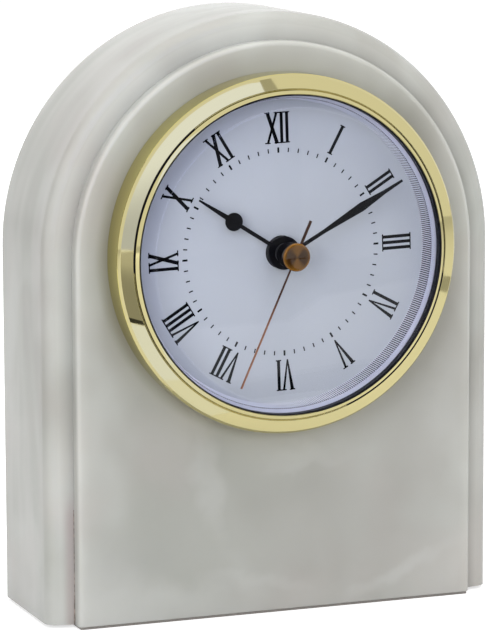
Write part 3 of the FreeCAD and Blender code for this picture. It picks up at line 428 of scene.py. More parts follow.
# %% Clouds and veins on the front, with painted light and shade among them
# The clouds lighten and darken the stone to a given brightness, so they hold painted light and shade as well
# as the stone's own clouds and veins. The shade beside the bezel at the lower left is painted shade of the
# bezel, and the broad pale patch at the left foot is painted light.
cloud_and_painted_light_colours = {"pale": (0.70, 0.71, 0.69), "shade": (0.36, 0.35, 0.32)}
# Each cloud has a kind, a place right and up, a half width and half height in mm, a lean and an amount.
stone_clouds_and_painted_light = [
    ("shade", 20, 24, 42, 26, 0, 0.34), ("shade", -33, 56, 13, 11, -40, 0.26),
    ("shade", -49, 33, 8, 16, 0, 0.12), ("pale", -28, 2, 34, 12, 6, 0.36),
    ("pale", -18, 36, 5, 22, 4, 0.30), ("pale", 34, 8, 22, 3.5, 24, 0.30),
    ("pale", 47, 50, 9, 20, 0, 0.24), ("pale", -4, 8, 20, 3, -12, 0.16),
    ("pale", 6, 40, 16, 3, 10, 0.20), ("pale", -58, 3, 40, 19, 0, 0.46),
    ("pale", 47, 116, 9, 26, -22, 0.26), ("shade", 2, 32, 16, 8, 15, 0.12),
]
cloud_depth, cloud_wander = 0.06, 0.016
ragged = add(tree, "ShaderNodeTexNoise", Vector=place_of(tree), Scale=70.0, Detail=3.0)
shift = add(tree, "ShaderNodeVectorMath", Vector=ragged.outputs["Color"])
fill(shift.inputs[1], (-0.5, -0.5, -0.5))
pushed = add(tree, "ShaderNodeVectorMath", Vector=shift.outputs[0])
pushed.operation = "MULTIPLY_ADD"
fill(pushed.inputs[1], (cloud_wander, 0.0, cloud_wander))
fill(pushed.inputs[2], place_of(tree))
for kind, right, up, half_width, half_height, lean, amount in stone_clouds_and_painted_light:
    about = add(
        tree, "ShaderNodeMapping", Vector=pushed.outputs[0], Location=(right * MM, face_y, up * MM),
        Rotation=(0.0, math.radians(-lean), 0.0), Scale=(half_width * MM, cloud_depth, half_height * MM),
    )
    about.vector_type = "TEXTURE"
    away = add(tree, "ShaderNodeVectorMath", Vector=about.outputs[0])
    away.operation = "LENGTH"
    spot = ramp(tree, away.outputs["Value"], (0.1, amount), (1.0, 0.0))
    body = blended(tree, spot, body, cloud_and_painted_light_colours[kind])
print("placed clouds:", len(stone_clouds_and_painted_light))

# %% A pink stain beside the glue, and the polish
stain_low, stain_high, stain_width = 26, 36, 3.2
beside = ramp(tree, parts["X"], ((-front_half - stain_width) * MM, 0.0), ((-front_half - 1.0) * MM, 1.0))
low_down = ramp(tree, parts["Z"], (stain_low * MM, 1.0), (stain_high * MM, 0.0))
left_strip = arithmetic(tree, "LESS_THAN", parts["X"], -front_half * MM)
stain = product(tree, beside, low_down, left_strip, frontal)
sheen_patch = use(tree, grain, Size=900.0)
feed(
    shader, Base_Color=layered(body, [(stain, 0.5, (0.47, 0.37, 0.36))]),
    Roughness=ramp(tree, sheen_patch["Patch"], (0.3, 0.19), (0.7, 0.255)),
)
bump(tree, shader, sheen_patch["Height"], 0.000006)
finish_nodes(stone, "case_back_slab", "case_front_slab")
print("stone on", "case_back_slab", "case_front_slab")

# %% [markdown]
# Every new piece is a mesh that rides on a body. Tubes, printed strokes and ribs are all rings of corners
# that are joined up, so one helper joins rings and another makes the mesh, with its faces turned outwards.

# %% Helpers for meshes
def joined(shape, rings):
    """Joins each ring of corners to the next one, and closes both ends with a face."""
    for lower, upper in zip(rings, rings[1:]):
        for index, corner in enumerate(lower):
            ahead = (index + 1) % len(lower)
            shape.faces.new([corner, lower[ahead], upper[ahead], upper[index]])
    shape.faces.new(rings[0])
    shape.faces.new(rings[-1])


def finished_mesh(name, shape, smooth=False, turn_faces=True):
    """A mesh made from an edited shape. Its faces are turned outwards, unless they already are."""
    if turn_faces:
        bmesh.ops.recalc_face_normals(shape, faces=shape.faces)
    for face in shape.faces:
        face.smooth = smooth
    mesh = bpy.data.meshes.new(name)
    shape.to_mesh(mesh)
    shape.free()
    return mesh


def keep_arrises(mesh, degrees=32.0):
    """Smooth faces, with the edges sharper than an angle kept sharp."""
    mesh.set_sharp_from_angle(angle=math.radians(degrees))


def piece(mesh, body, slot, *materials, stands_for=()):
    """Links a finished mesh as a piece of the clock, under the mesh's name, and lets it ride on a body."""
    thing = bpy.data.objects.new(mesh.name, mesh)
    scene.collection.objects.link(thing)
    for material in materials:
        mesh.materials.append(material)
    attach(thing, body)
    if stands_for:
        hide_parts(*stands_for)


print("mesh helpers ready")

# %% [markdown]
# ## The glue seam
#
# The front slab is glued to the back one. In the inner corner at the left the glue shows as a thin, uneven
# thread that grows towards the foot. It is drawn as a chain of small rings with a radius that wanders.

# %% Glue seam
glue, tree, shader = new_material("amber_glue", Roughness=0.45)
aged = use(tree, clouds, Size=900.0, Detail=3.0, Low=0.4, High=0.6)["Mask"]
feed(shader, Base_Color=blended(tree, aged, (0.17, 0.145, 0.125), (0.42, 0.34, 0.30)))
seam_low, seam_high = 0.9, 30.0
seam_steps, seam_sides = 60, 8
seam_radius, foot_extra, wander_reach = 0.12, 0.20, 0.06
random = np.random.default_rng(7)
wander = np.convolve(random.normal(0.0, 1.0, seam_steps + 4), np.ones(5) / 5, "valid")
shape = bmesh.new()
rings = []
for step in range(seam_steps):
    share = step / (seam_steps - 1)
    height = (seam_low + (seam_high - seam_low) * share) * MM
    thickness = (seam_radius + foot_extra * (1 - share) ** 3 + wander_reach * wander[step]) * MM
    ring = []
    for side in range(seam_sides):
        angle = 2 * math.pi * side / seam_sides
        x, y = front_low.x + thickness * math.cos(angle), front_high.y + thickness * math.sin(angle)
        ring.append(shape.verts.new((x, y, height)))
    rings.append(ring)
joined(shape, rings)
piece(finished_mesh("glue_seam", shape, smooth=True), "case", None, glue)
print("seam from", seam_low, "to", seam_high, "mm up")

# %% [markdown]
# ## Felt under the base
#
# A pad of grey-brown felt keeps the stone from scratching a shelf. Only its edge shows, as a thin line.

# %% Felt
felt, tree, shader = new_material("brown_felt", Roughness=0.95, Sheen_Weight=0.4)
fibres = add(tree, "ShaderNodeTexNoise", Vector=place_of(tree), Scale=3200.0, Detail=5.0).outputs["Fac"]
feed(shader, Base_Color=blended(tree, fibres, (0.30, 0.275, 0.255), (0.46, 0.43, 0.40)))
bump(tree, shader, fibres, 0.0003)
finish_nodes(felt, "base_felt")
print("felt ready")

# %% [markdown]
# ## Lacquered brass
#
# The bezel is spun from sheet, polished and lacquered, so it mirrors the room with a pale yellow tint.
# Mirror metal is mostly a matter of shape: the light lines of the bezel are its rounded arrises. The
# material adds what polish leaves, a faint haze that changes from place to place. The skirt gets a copy
# with a brighter, more saturated yellow: a painted reflection tone.

# %% Brass for the bezel
bezel_gold, tree, shader = new_material("lacquered_brass", Base_Color=(0.62, 0.555, 0.28, 1.0), Metallic=1.0)
haze = use(tree, clouds, Size=160.0, Detail=4.0, Low=0.35, High=0.7)["Mask"]
feed(shader, Roughness=ramp(tree, haze, (0.0, 0.03), (1.0, 0.09)))
# The skirt's copy is painted reflection: the same brass in a brighter, more saturated yellow.
skirt_gold_painted_reflection = bezel_gold.copy()
skirt_gold_painted_reflection.name = "brass_skirt_painted_reflection"
feed(skirt_gold_painted_reflection.node_tree.nodes["Principled BSDF"], Base_Color=(0.70, 0.62, 0.21, 1.0))
print("brass ready")


# %% [markdown]
# ## Plastic and paint
#
# Moulded plastic, dial paint, ink and lacquer differ in their colours and their gloss, but all have a fine
# grain and a gloss that changes a little. One function makes them all. Only the black liner and the clear
# gasket have an even gloss.

# %% Moulded plastic and paint
def moulded(name, dark, light, roughness, depth=0.00002, size=1800.0, specular=0.5):
    """Two close colours, a fine grain and a gloss that changes a little."""
    material, tree, shader = new_material(name, Specular_IOR_Level=specular)
    out = use(tree, grain, Size=size)
    gloss = ramp(tree, out["Patch"], (0.3, roughness * 0.85), (0.7, roughness * 1.15))
    feed(shader, Base_Color=blended(tree, out["Patch"], dark, light), Roughness=gloss)
    bump(tree, shader, out["Height"], depth)
    return material


white_plastic = moulded("white_plastic", (0.66, 0.68, 0.76), (0.72, 0.74, 0.82), 0.42)
dial_paint = moulded("dial_paint", (0.466, 0.492, 0.520), (0.486, 0.512, 0.540), 0.5, 0.000004, 6000.0)
print_ink = moulded("print_ink", (0.002, 0.002, 0.003), (0.005, 0.005, 0.007), 0.5, 0.000002, 6000.0, 0.02)
finish_nodes(white_plastic, "sight_ring")
finish_nodes(moulded("housing_white", (0.68, 0.68, 0.67), (0.76, 0.76, 0.75), 0.42), "insert_housing")
finish_nodes(dial_paint, "dial_plate")
print("plastic and paint ready")

# %% Liner and gasket
liner_black, tree, shader = new_material("black_liner", Roughness=0.35, Specular_IOR_Level=0.08)
matt = use(tree, grain, Size=1800.0)
feed(shader, Base_Color=blended(tree, matt["Patch"], (0.004, 0.004, 0.005), (0.010, 0.010, 0.012)))
bump(tree, shader, matt["Height"], 0.00002)
gasket, tree, shader = new_material("clear_gasket", Roughness=0.4)
milky = use(tree, grain, Size=1500.0)["Patch"]
feed(shader, Base_Color=blended(tree, milky, (0.62, 0.64, 0.70), (0.76, 0.78, 0.82)))
finish_nodes(gasket, "lens_gasket")
print("liner and gasket ready")


# %% [markdown]
# Round pieces are turned on a lathe, and the script does the same: it spins a profile round the dial's axis.
# A real arris is never perfectly sharp, so the profile's corners can be rounded before it is spun. The
# little arcs are what catch the light.

# %% Turning a profile
def rounded(profile, roundings, steps=6):
    """The profile with an arc of the given radius in place of each corner that has one."""
    points = []
    for index, here in enumerate(profile):
        radius = roundings.get(index, 0.0)
        here = Vector(here)
        before = Vector(profile[index - 1]) - here
        after = Vector(profile[(index + 1) % len(profile)]) - here
        if not radius:
            points.append(tuple(here))
            continue
        half = before.angle(after) / 2
        reach = min(radius / math.tan(half), before.length * 0.45, after.length * 0.45)
        start = here + before.normalized() * reach
        end = here + after.normalized() * reach
        for step in range(steps + 1):
            share = step / steps
            points.append(tuple(start.lerp(here, share).lerp(here.lerp(end, share), share)))
    return points


def turned_mesh(name, profile, segments=256, sharper_than=32.0):
    """A closed ring or cap spun from a closed profile of (radius, forward) points in millimetres."""
    shape = bmesh.new()
    rings = []
    for radius, forward in profile:
        turns = [2 * math.pi * step / segments for step in range(segments if radius > 1e-6 else 1)]
        rings.append([
            shape.verts.new(dial_point(radius * math.cos(turn), radius * math.sin(turn), forward))
            for turn in turns
        ])
    for index, ring in enumerate(rings):
        following = rings[(index + 1) % len(rings)]
        if len(ring) == len(following) == 1:
            continue
        for step in range(segments):
            ahead = (step + 1) % segments
            corners = [ring[step % len(ring)], ring[ahead % len(ring)]]
            corners += [following[ahead % len(following)], following[step % len(following)]]
            shape.faces.new(list(dict.fromkeys(corners)))
    mesh = finished_mesh(name, shape, smooth=True)
    keep_arrises(mesh, sharper_than)
    return mesh


print("lathe ready")

# %% [markdown]
# ## The bezel
#
# From outside in, the bezel has an upright skirt, a crisp arris, a broad cone, a fine groove and a narrow
# bead. Behind the bead a black liner shows where the glass comes up. In stretches at the right and the
# upper left, the groove and the bead's flanks are black as well. This is painted dark reflection, and it
# makes the black widest at the side away from the camera.

# %% Bezel
face_foot, groove_middle, groove_side = 41.45, 41.1, 40.98
bead_outer, bead_inner = 41.2, 39.8
bezel_profile = [
    (45.0, 0.0), (45.0, 7.4), (44.4, 8.2), (face_foot, 9.6), (bead_outer, 9.3), (groove_side, 9.8),
    (40.2, lip_top), (40.0, lip_top), (bead_inner, 10.0), (bead_inner, 9.3),
    (40.95, 9.05), (43.65, 7.15), (43.9, 6.8), (43.9, 0.8), (41.2, 0.8), (41.2, 0.0),
]
bezel_rounding = {0: 0.15, 1: 0.45, 2: 0.35, 3: 0.18, 4: 0.12, 5: 0.15, 6: 0.1, 7: 0.1, 8: 0.2}
bezel_mesh = turned_mesh("bezel_polished", rounded(bezel_profile, bezel_rounding), 360, 40.0)
piece(bezel_mesh, "insert", "bezel_brass", bezel_gold, liner_black, skirt_gold_painted_reflection, stands_for=["bezel"])


def in_painted_dark_reflection(clock, radius):
    """Whether the groove beside the bead, or the bead's inner flank, is painted black here, as painted dark
    reflection.
    """
    if radius > groove_middle:
        return 8.9 < clock < 10.75 or 3.3 < clock < 5.3
    if radius > groove_side:
        return 9.5 < clock < 10.3 or 3.3 < clock < 5.3
    return 2.7 < clock < 5.7 and radius < 40.15 or 10.5 < clock < 12 and radius < 40.05


gold_slot, black_slot, skirt_slot = range(3)
skirt_from, inner_flank, inside_height, groove_height = 44.9, 0.2, 5.0, 9.15
for face in bezel_mesh.polygons:
    middle = face.center
    across, up = middle.x, middle.z - axis_height
    radius, forward = math.hypot(across, up) / MM, (face_y - middle.y) / MM
    clock = math.degrees(math.atan2(across, up)) / 30 % 12
    if radius < bead_inner + inner_flank and forward > inside_height:
        face.material_index = black_slot
    # Painted dark reflection: the groove and the bead's flanks are black only in the listed stretches.
    elif radius < face_foot and forward > groove_height and in_painted_dark_reflection(clock, radius):
        face.material_index = black_slot
    else:
        face.material_index = skirt_slot if radius > skirt_from else gold_slot
print("bezel faces", len(bezel_mesh.polygons))

# %% Black liner under the lip
liner_profile = [
    (39.68, 8.12), (41.6, 8.12), (41.0, 9.0), (39.79, 9.25), (39.79, 10.06), (39.68, 9.96),
]
piece(turned_mesh("lip_liner", liner_profile), "insert", "gasket", liner_black)
print("liner points", len(liner_profile))

# %% [markdown]
# ## The glass
#
# The glass is moulded: a flat rim, a steep wall, a rounded shoulder and a low dome, all of even thickness.
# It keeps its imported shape. A wall this thin hardly bends the view, so the shader gives it almost no
# refraction and a clear coat that reflects as glass does. It casts no shadow of its own, because real glass
# lets the light through to the dial, and a path tracer would need many samples to find the same light.

# %% Glass
glass, tree, shader = new_material(
    "clear_glass", IOR=1.0, Transmission_Weight=1.0, Coat_IOR=1.49, Coat_Roughness=0.0
)
shoulder_start, shoulder_end = 36.6 * MM, 37.5 * MM
dome_coat, wall_coat = 0.8, 0.005
on_wall = ramp(tree, use(tree, around)["Distance"], (shoulder_start, 0.0), (shoulder_end, 1.0))
smear = use(tree, clouds, Size=60.0, Detail=3.0, Low=0.55, High=0.8)["Mask"]
feed(
    shader, Base_Color=blended(tree, on_wall, (0.985, 0.99, 1.0), (0.92, 0.925, 0.97)),
    Coat_Weight=arithmetic(tree, "MULTIPLY_ADD", on_wall, wall_coat - dome_coat, dome_coat),
    Roughness=ramp(tree, smear, (0.0, 0.0), (1.0, 0.02)),
)
finish_nodes(glass, "lens")
nodes["lens"].visible_shadow = False
print("glass ready")

# %% [markdown]
# ## Repeats with Geometry Nodes
#
# Ribs, minute marks and knurls repeat round an axis. One small Geometry Nodes tree does them all: it takes
# one shape, sets it on a line of points that all lie at the same place, and turns each copy by its number.
# The result is realized and given its material inside the tree, then kept as a plain mesh.

# %% A tree that copies a shape round an axis
def ring_tree():
    """Takes a shape and puts Count copies of it round an axis along Y."""
    tree = bpy.data.node_groups.new("copies_round_an_axis", "GeometryNodeTree")
    sockets = {
        "Geometry": "Geometry", "Count": "Int", "Centre": "Vector", "Skip every": "Int",
        "Finish": "Material",
    }
    for name, kind in sockets.items():
        tree.interface.new_socket(name, in_out="INPUT", socket_type="NodeSocket" + kind)
    tree.interface.new_socket("Geometry", in_out="OUTPUT", socket_type="NodeSocketGeometry")
    given = tree.nodes.new("NodeGroupInput").outputs
    line = add(tree, "GeometryNodeMeshLine", Count=given["Count"], Offset=(0.0, 0.0, 0.0))
    index = tree.nodes.new("GeometryNodeInputIndex").outputs[0]
    turn = arithmetic(tree, "DIVIDE", arithmetic(tree, "MULTIPLY", index, 2 * math.pi), given["Count"])
    spin = add(tree, "ShaderNodeCombineXYZ", Y=turn)
    remainder = arithmetic(tree, "MODULO", index, given["Skip every"])
    keeps_all = arithmetic(tree, "LESS_THAN", given["Skip every"], 1.5)
    wanted = arithmetic(tree, "MAXIMUM", keeps_all, arithmetic(tree, "GREATER_THAN", remainder, 0.5))
    copies = add(tree, "GeometryNodeInstanceOnPoints", Points=line.outputs[0], Instance=given["Geometry"],
                 Selection=wanted, Rotation=spin.outputs[0])
    placed = add(tree, "GeometryNodeTransform", Geometry=copies.outputs[0], Translation=given["Centre"])
    real = add(tree, "GeometryNodeRealizeInstances", Geometry=placed.outputs[0])
    painted = add(tree, "GeometryNodeSetMaterial", Geometry=real.outputs[0], Material=given["Finish"])
    tree.links.new(painted.outputs[0], tree.nodes.new("NodeGroupOutput").inputs[0])
    return tree


copies_round_an_axis = ring_tree()


def ring_of(name, shape, count, centre, material, skip_every=1):
    """The mesh of count copies of a shape round an axis. skip_every leaves out every so many."""
    seed = bpy.data.objects.new(name + "_seed", shape)
    scene.collection.objects.link(seed)
    modifier = seed.modifiers.new("copies", "NODES")
    modifier.node_group = copies_round_an_axis
    values = {"Count": count, "Centre": centre, "Skip every": skip_every, "Finish": material}
    for item in copies_round_an_axis.interface.items_tree:
        if item.in_out == "INPUT" and item.name in values:
            modifier[item.identifier] = values[item.name]
    bpy.context.view_layer.update()
    mesh = bpy.data.meshes.new_from_object(seed.evaluated_get(bpy.context.evaluated_depsgraph_get()))
    seed.modifiers.remove(modifier)
    bpy.data.objects.remove(seed)
    mesh.name = name
    return mesh


print("ring tree has", len(copies_round_an_axis.nodes), "nodes")

# %% [markdown]
# ## The printed dial
#
# The dial carries a track of minute marks and Roman numerals whose feet point to the centre. They are
# printed, so they are made as very thin solids that lie on the paint. A numeral is built from strokes, thick
# and thin, with a fine serif across each end: that is the whole alphabet of a Roman dial.

# %% Flat strokes
ink_thickness = 0.02
ink_sink = 0.01
dial_turn = math.radians(1.75)


def bar(start, end, width, end_width=None):
    """Four corners of a straight stroke from start to end."""
    start, end = Vector(start), Vector(end)
    across = (end - start).orthogonal().normalized()
    near, far = across * width / 2, across * (end_width or width) / 2
    return [start - near, end - far, end + far, start + near]


def printed(name, strokes, low=dial_top - ink_sink, high=dial_top + ink_thickness):
    """A mesh of flat solids, one for each outline, between two distances in front of the stone face."""
    shape = bmesh.new()
    for corners in strokes:
        joined(shape, [
            [shape.verts.new((x * MM, -level * MM, y * MM)) for x, y in corners] for level in (low, high)
        ])
    return finished_mesh(name, shape)


def onto_dial(mesh, turn=0.0, right=0.0, up=0.0):
    """Moves a mesh drawn about the origin onto the dial's axis, or beside it, turned clockwise."""
    mesh.transform(Matrix.Translation(dial_point(right, up, 0)) @ Matrix.Rotation(turn, 4, "Y"))
    return mesh


print("ink", ink_thickness, "mm thick")

# %% Minute marks
track_inner, track_outer = 25.0, 26.1
thin_mark = printed("thin_mark", [bar((0, track_inner), (0, track_outer), 0.31)])
bold_mark = printed("bold_mark", [bar((0, track_inner - 0.1), (0, track_outer + 0.15), 0.5)])
marks = {"thin": (thin_mark, 60, 5), "bold": (bold_mark, 12, 1)}
for kind, (shape, count, skip) in marks.items():
    mesh = ring_of(f"minute_marks_{kind}", shape, count, (0, 0, 0), print_ink, skip)
    piece(onto_dial(mesh, -dial_turn), "insert", None)
    print(kind, "marks:", len(mesh.polygons) // 6)

# %% Roman numerals
numeral_foot, numeral_top = 27.25, 35.1
letter_height = numeral_top - numeral_foot
thick, thin, serif = 0.92, 0.62, 0.32
apex = 0.34
stem_share = 0.88
serif_reach = 0.5
pitch = {"I": 1.45, "V": 3.35, "X": 3.5}
spread = {"V": 2.3, "X": 2.5}
mirrored_hours = (4, 9, 10, 11)


def serif_bar(x, y):
    """The fine stroke across one end of a letter's stroke."""
    inward = serif / 2 if y < letter_height / 2 else -serif / 2
    return bar((x - serif_reach - thick / 4, y + inward), (x + serif_reach + thick / 4, y + inward), serif)


def letter(kind, x, mirrored):
    """The strokes of one letter whose middle is at x. A mirrored one swaps its thick and thin strokes."""
    if kind == "I":
        stem = bar((x, 0), (x, letter_height), thick * stem_share)
        return [stem, serif_bar(x, 0), serif_bar(x, letter_height)]
    half = spread[kind] / 2 * (-1 if mirrored else 1)
    left, right = x - half, x + half
    if kind == "V":
        down = bar((left, letter_height), (x, 0), thick, apex)
        up = bar((right, letter_height), (x, 0), thin, apex)
        return [down, up, serif_bar(left, letter_height), serif_bar(right, letter_height)]
    down = bar((left, letter_height), (right, 0), thick)
    up = bar((left, 0), (right, letter_height), thin)
    return [down, up, *(serif_bar(end, y) for end in (left, right) for y in (0, letter_height))]


def numeral(text, hour):
    """The strokes of a numeral, turned to its hour on the dial."""
    x = -sum(pitch[kind] for kind in text) / 2
    strokes = []
    for kind in text:
        strokes += letter(kind, x + pitch[kind] / 2, hour in mirrored_hours)
        x += pitch[kind]
    angle = math.radians(30 * hour)
    along = Vector((math.cos(angle), -math.sin(angle)))
    outward = Vector((math.sin(angle), math.cos(angle)))
    return [
        [along * point.x + outward * (point.y + numeral_foot) for point in corners] for corners in strokes
    ]


hours = ["XII", "I", "II", "III", "IV", "V", "VI", "VII", "VIII", "IX", "X", "XI"]
for hour, text in enumerate(hours):
    mesh = printed(f"numeral_{hour or 12}", numeral(text, hour))
    piece(onto_dial(mesh, -dial_turn), "insert", None, print_ink)
print("numerals:", " ".join(hours))

# %% [markdown]
# ## The ribbed sight ring
#
# A white ring hides the edge of the dial. Its inner wall is ribbed from the dial to a plain band at the top,
# so that the wall doesn't shine. Modelling the ribs as real geometry keeps their light and dark sides right
# at any angle. The cone they stand on is nearly black, which is painted shade in the gaps between them. One
# rib is a low prism, and the ring tree makes the rest.

# %% Sight ring
ring_inner = 39.0
cone_foot, cone_head, cone_back = 38.4, 38.9, ring_inner + 0.1
rib_low, rib_high = dial_top + 0.02, height_of("sight_ring", "front") - 0.08
cone_profile = [(cone_back, rib_low), (cone_foot, rib_low), (cone_head, rib_high), (cone_back, rib_high)]
# Nearly black: painted shade in the gaps between the ribs.
rib_shade = moulded("rib_shade", (0.015, 0.016, 0.024), (0.035, 0.036, 0.048), 0.6)
piece(turned_mesh("sight_ring_shade_cone", cone_profile), "insert", "white_plastic", rib_shade)
print("cone radius from", cone_foot, "to", cone_head, "mm")

# %% Ribs on the sight ring
rib_count = 450
rib_pitch = 2 * math.pi * ring_inner / rib_count
rib_depth, rib_root = 0.26, 0.08
root_half_share, crest_half_share = 0.25, 0.11
rib_outline = [
    (-root_half_share, rib_root), (root_half_share, rib_root), (crest_half_share, -rib_depth),
    (-crest_half_share, -rib_depth),
]
shape = bmesh.new()
joined(shape, [
    [shape.verts.new((x * rib_pitch * MM, -forward * MM, (radius + y) * MM)) for x, y in rib_outline]
    for forward, radius in ((rib_low, cone_foot), (rib_high, cone_head))
])
one_rib = finished_mesh("rib", shape)
ribs = ring_of("sight_ring_ribs", one_rib, rib_count, dial_point(0, 0, 0), white_plastic)
piece(ribs, "insert", "white_plastic")
print("ribs", rib_count, "pitch", round(rib_pitch, 3), "mm")

# %% [markdown]
# ## The hands
#
# The hour and minute hands are stamped from thin sheet and lacquered black, and stamping leaves their edges
# a little rounded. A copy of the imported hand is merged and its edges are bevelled, which is enough to give
# the lacquer an edge of light. The second hand is copper coloured, and its cap is turned brass.

# %% Hands
hand_black = moulded(
    "black_lacquer", (0.002, 0.002, 0.003), (0.005, 0.005, 0.007), 0.3, 0.000003, 4000.0, 0.05
)
hand_edge = 0.07
for node, body in (("hour_hand", "hours"), ("minute_hand", "minutes")):
    shape = bmesh.new()
    shape.from_mesh(nodes[node].data)
    bmesh.ops.remove_doubles(shape, verts=shape.verts, dist=1e-6)
    bmesh.ops.dissolve_limit(shape, angle_limit=math.radians(0.5), verts=shape.verts, edges=shape.edges)
    sharp = [edge for edge in shape.edges if edge.calc_face_angle(0.0) > math.radians(50)]
    bmesh.ops.bevel(
        shape, geom=sharp, offset=hand_edge * MM, segments=3, profile=0.5, affect="EDGES", clamp_overlap=True
    )
    mesh = finished_mesh(node + "_lacquered", shape, smooth=True, turn_faces=False)
    keep_arrises(mesh, 35.0)
    piece(mesh, body, "hand_black", hand_black, stands_for=[node])

hand_copper, tree, shader = new_material("copper_wash", Metallic=0.85, Roughness=0.35)
wash = use(tree, clouds, Size=500.0, Detail=3.0, Low=0.35, High=0.65)["Mask"]
washed = blended(tree, wash, (0.40, 0.17, 0.09), (0.52, 0.24, 0.13))
# The hand is nearly black towards the hub.
darker_near_hub = ramp(tree, use(tree, around)["Distance"], (9 * MM, 0.85), (20 * MM, 0.0))
feed(shader, Base_Color=blended(tree, darker_near_hub, washed, (0.035, 0.018, 0.014)))
finish_nodes(hand_copper, "second_hand")
print("hands ready")

# %% [markdown]
# The cap's face is cut by fine rings. Turned rings catch the light in two opposite sectors and stay dark in
# the two between them. The colour paints that: painted shade in the sectors at the left and right, with less
# of it at the rim.

# %% Brass for the cap
cap_brass, tree, shader = new_material("turned_brass", Metallic=0.55, Specular_IOR_Level=0.15)
worn = use(tree, clouds, Size=900.0, Detail=4.0, Low=0.3, High=0.7)["Mask"]
from_axis = use(tree, around)["Distance"]
upright_share = arithmetic(tree, "SUBTRACT", place_parts(tree)["Z"], axis_height)
upright_share = arithmetic(tree, "DIVIDE", upright_share, from_axis)
sectors = ramp(tree, product(tree, upright_share, upright_share), (0.35, 0.85), (1.0, 0.0))
painted_sector_shade = product(tree, sectors, ramp(tree, from_axis, (2.5 * MM, 1.0), (3.2 * MM, 0.15)))
feed(
    shader, Base_Color=blended(tree, painted_sector_shade, (0.25, 0.108, 0.014), (0.030, 0.009, 0.001)),
    Roughness=ramp(tree, worn, (0.0, 0.18), (1.0, 0.25)),
)
print("cap brass ready")

# %% Turned cap
cap_back, cap_front = height_of("second_hand_cap", "back"), height_of("second_hand_cap", "front")
cap_low, cap_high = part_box("second_hand_cap")
cap_radius = (cap_high.x - cap_low.x) / 2 / MM
cap_chamfer, cap_arris = 0.25, 0.08
groove_pitch, groove_depth, groove_margin = 0.22, 0.034, 0.45
groove_count = int((cap_radius - groove_margin) / groove_pitch)
cap_profile = [
    (0.0, cap_back), (cap_radius, cap_back), (cap_radius, cap_front - cap_chamfer),
    (cap_radius - cap_chamfer, cap_front),
]
for groove in range(groove_count, 0, -1):
    cap_profile.append((groove * groove_pitch + groove_pitch / 2, cap_front))
    cap_profile.append((groove * groove_pitch, cap_front - groove_depth))
cap_profile.append((0.0, cap_front))
cap_mesh = turned_mesh("second_hand_cap_turned", rounded(cap_profile, {1: cap_arris}), 96, 60.0)
piece(cap_mesh, "seconds", "cap_brass", cap_brass, stands_for=["second_hand_cap"])
print("cap radius", round(cap_radius, 2), "with", groove_count, "grooves")

# %% [markdown]
# ## The movement and what is behind the dial
#
# The parts inside are quieter, but each has the finish of its trade: black moulded plastic for the movement
# case, pale nylon for the gears, ground steel for the arbors, enamelled copper on the coil and so on.

# %% Plastics of the movement, and what is made of each
cases = ["movement_front_case", "movement_back_cover", "hour_tube", "minute_tube"]
gears = [
    "rotor_pinion", "intermediate_wheel", "seconds_wheel", "seconds_pinion", "third_wheel", "centre_wheel",
    "cannon_pinion", "minute_work_wheel", "hour_wheel", "setting_pinion", "setting_stem",
]
plastics = {
    "movement_black": (cases, (0.011, 0.011, 0.012), (0.020, 0.020, 0.022), 0.5, 0.00004, 2200.0),
    "knob_black": (["centre_bush"], (0.015, 0.015, 0.017), (0.026, 0.026, 0.029), 0.38),
    "grip_grey": (["setting_knob"], (0.11, 0.11, 0.115), (0.15, 0.15, 0.155), 0.36),
    "natural_nylon": (gears, (0.70, 0.69, 0.63), (0.80, 0.79, 0.74), 0.4),
    "natural_plastic": (["train_plate", "coil_bobbin"], (0.68, 0.66, 0.58), (0.76, 0.74, 0.67), 0.45),
    "milky_rubber": (["grip_band"], (0.50, 0.51, 0.50), (0.60, 0.61, 0.60), 0.55),
    "board_resist": (["circuit_board"], (0.02, 0.10, 0.04), (0.04, 0.15, 0.06), 0.3),
    "black_resin": (["circuit_chip"], (0.006, 0.006, 0.007), (0.014, 0.014, 0.015), 0.2),
    "sintered_magnet": (["rotor_magnet"], (0.035, 0.035, 0.040), (0.065, 0.065, 0.070), 0.55),
    "battery_sleeve": (["battery_can"], (0.030, 0.032, 0.040), (0.055, 0.057, 0.066), 0.3),
}
finishes = {}
for name, (wearers, *look) in plastics.items():
    finishes[name] = moulded(name, *look)
    finish_nodes(finishes[name], *wearers)
print("plastics:", *plastics)

# %% Metals of the movement, and what is made of each
arbors = ["rotor_arbor", "intermediate_arbor", "third_arbor", "seconds_arbor", "clutch_spring"]
contacts = ["contact_positive", "contact_negative", "battery_terminal"]
metals = {
    "ground_steel": (arbors, (0.62, 0.62, 0.63), 0.22),
    "zinc_plate": (["movement_screws", "quartz_crystal"], (0.60, 0.61, 0.62), 0.3),
    "nickel_plate": (contacts, (0.70, 0.67, 0.60), 0.2),
    "rolled_iron": (["stator"], (0.46, 0.46, 0.47), 0.38),
    "enamelled_copper": (["coil_winding"], (0.62, 0.20, 0.07), 0.25),
}
worn_tone, worn_gloss = 0.82, 1.4
for name, (wearers, colour, roughness) in metals.items():
    finishes[name], tree, shader = new_material(name, Metallic=1.0)
    worn = use(tree, clouds, Size=700.0, Detail=4.0, Low=0.3, High=0.7)["Mask"]
    darker = tuple(channel * worn_tone for channel in colour)
    feed(
        shader, Base_Color=blended(tree, worn, darker, colour),
        Roughness=ramp(tree, worn, (0.0, roughness * worn_gloss), (1.0, roughness)),
    )
    finish_nodes(finishes[name], *wearers)
bare = [name for name, node in nodes.items() if not node.hide_render and not node.data.materials]
print("metals:", *metals)
print("nodes without a finish:", bare)

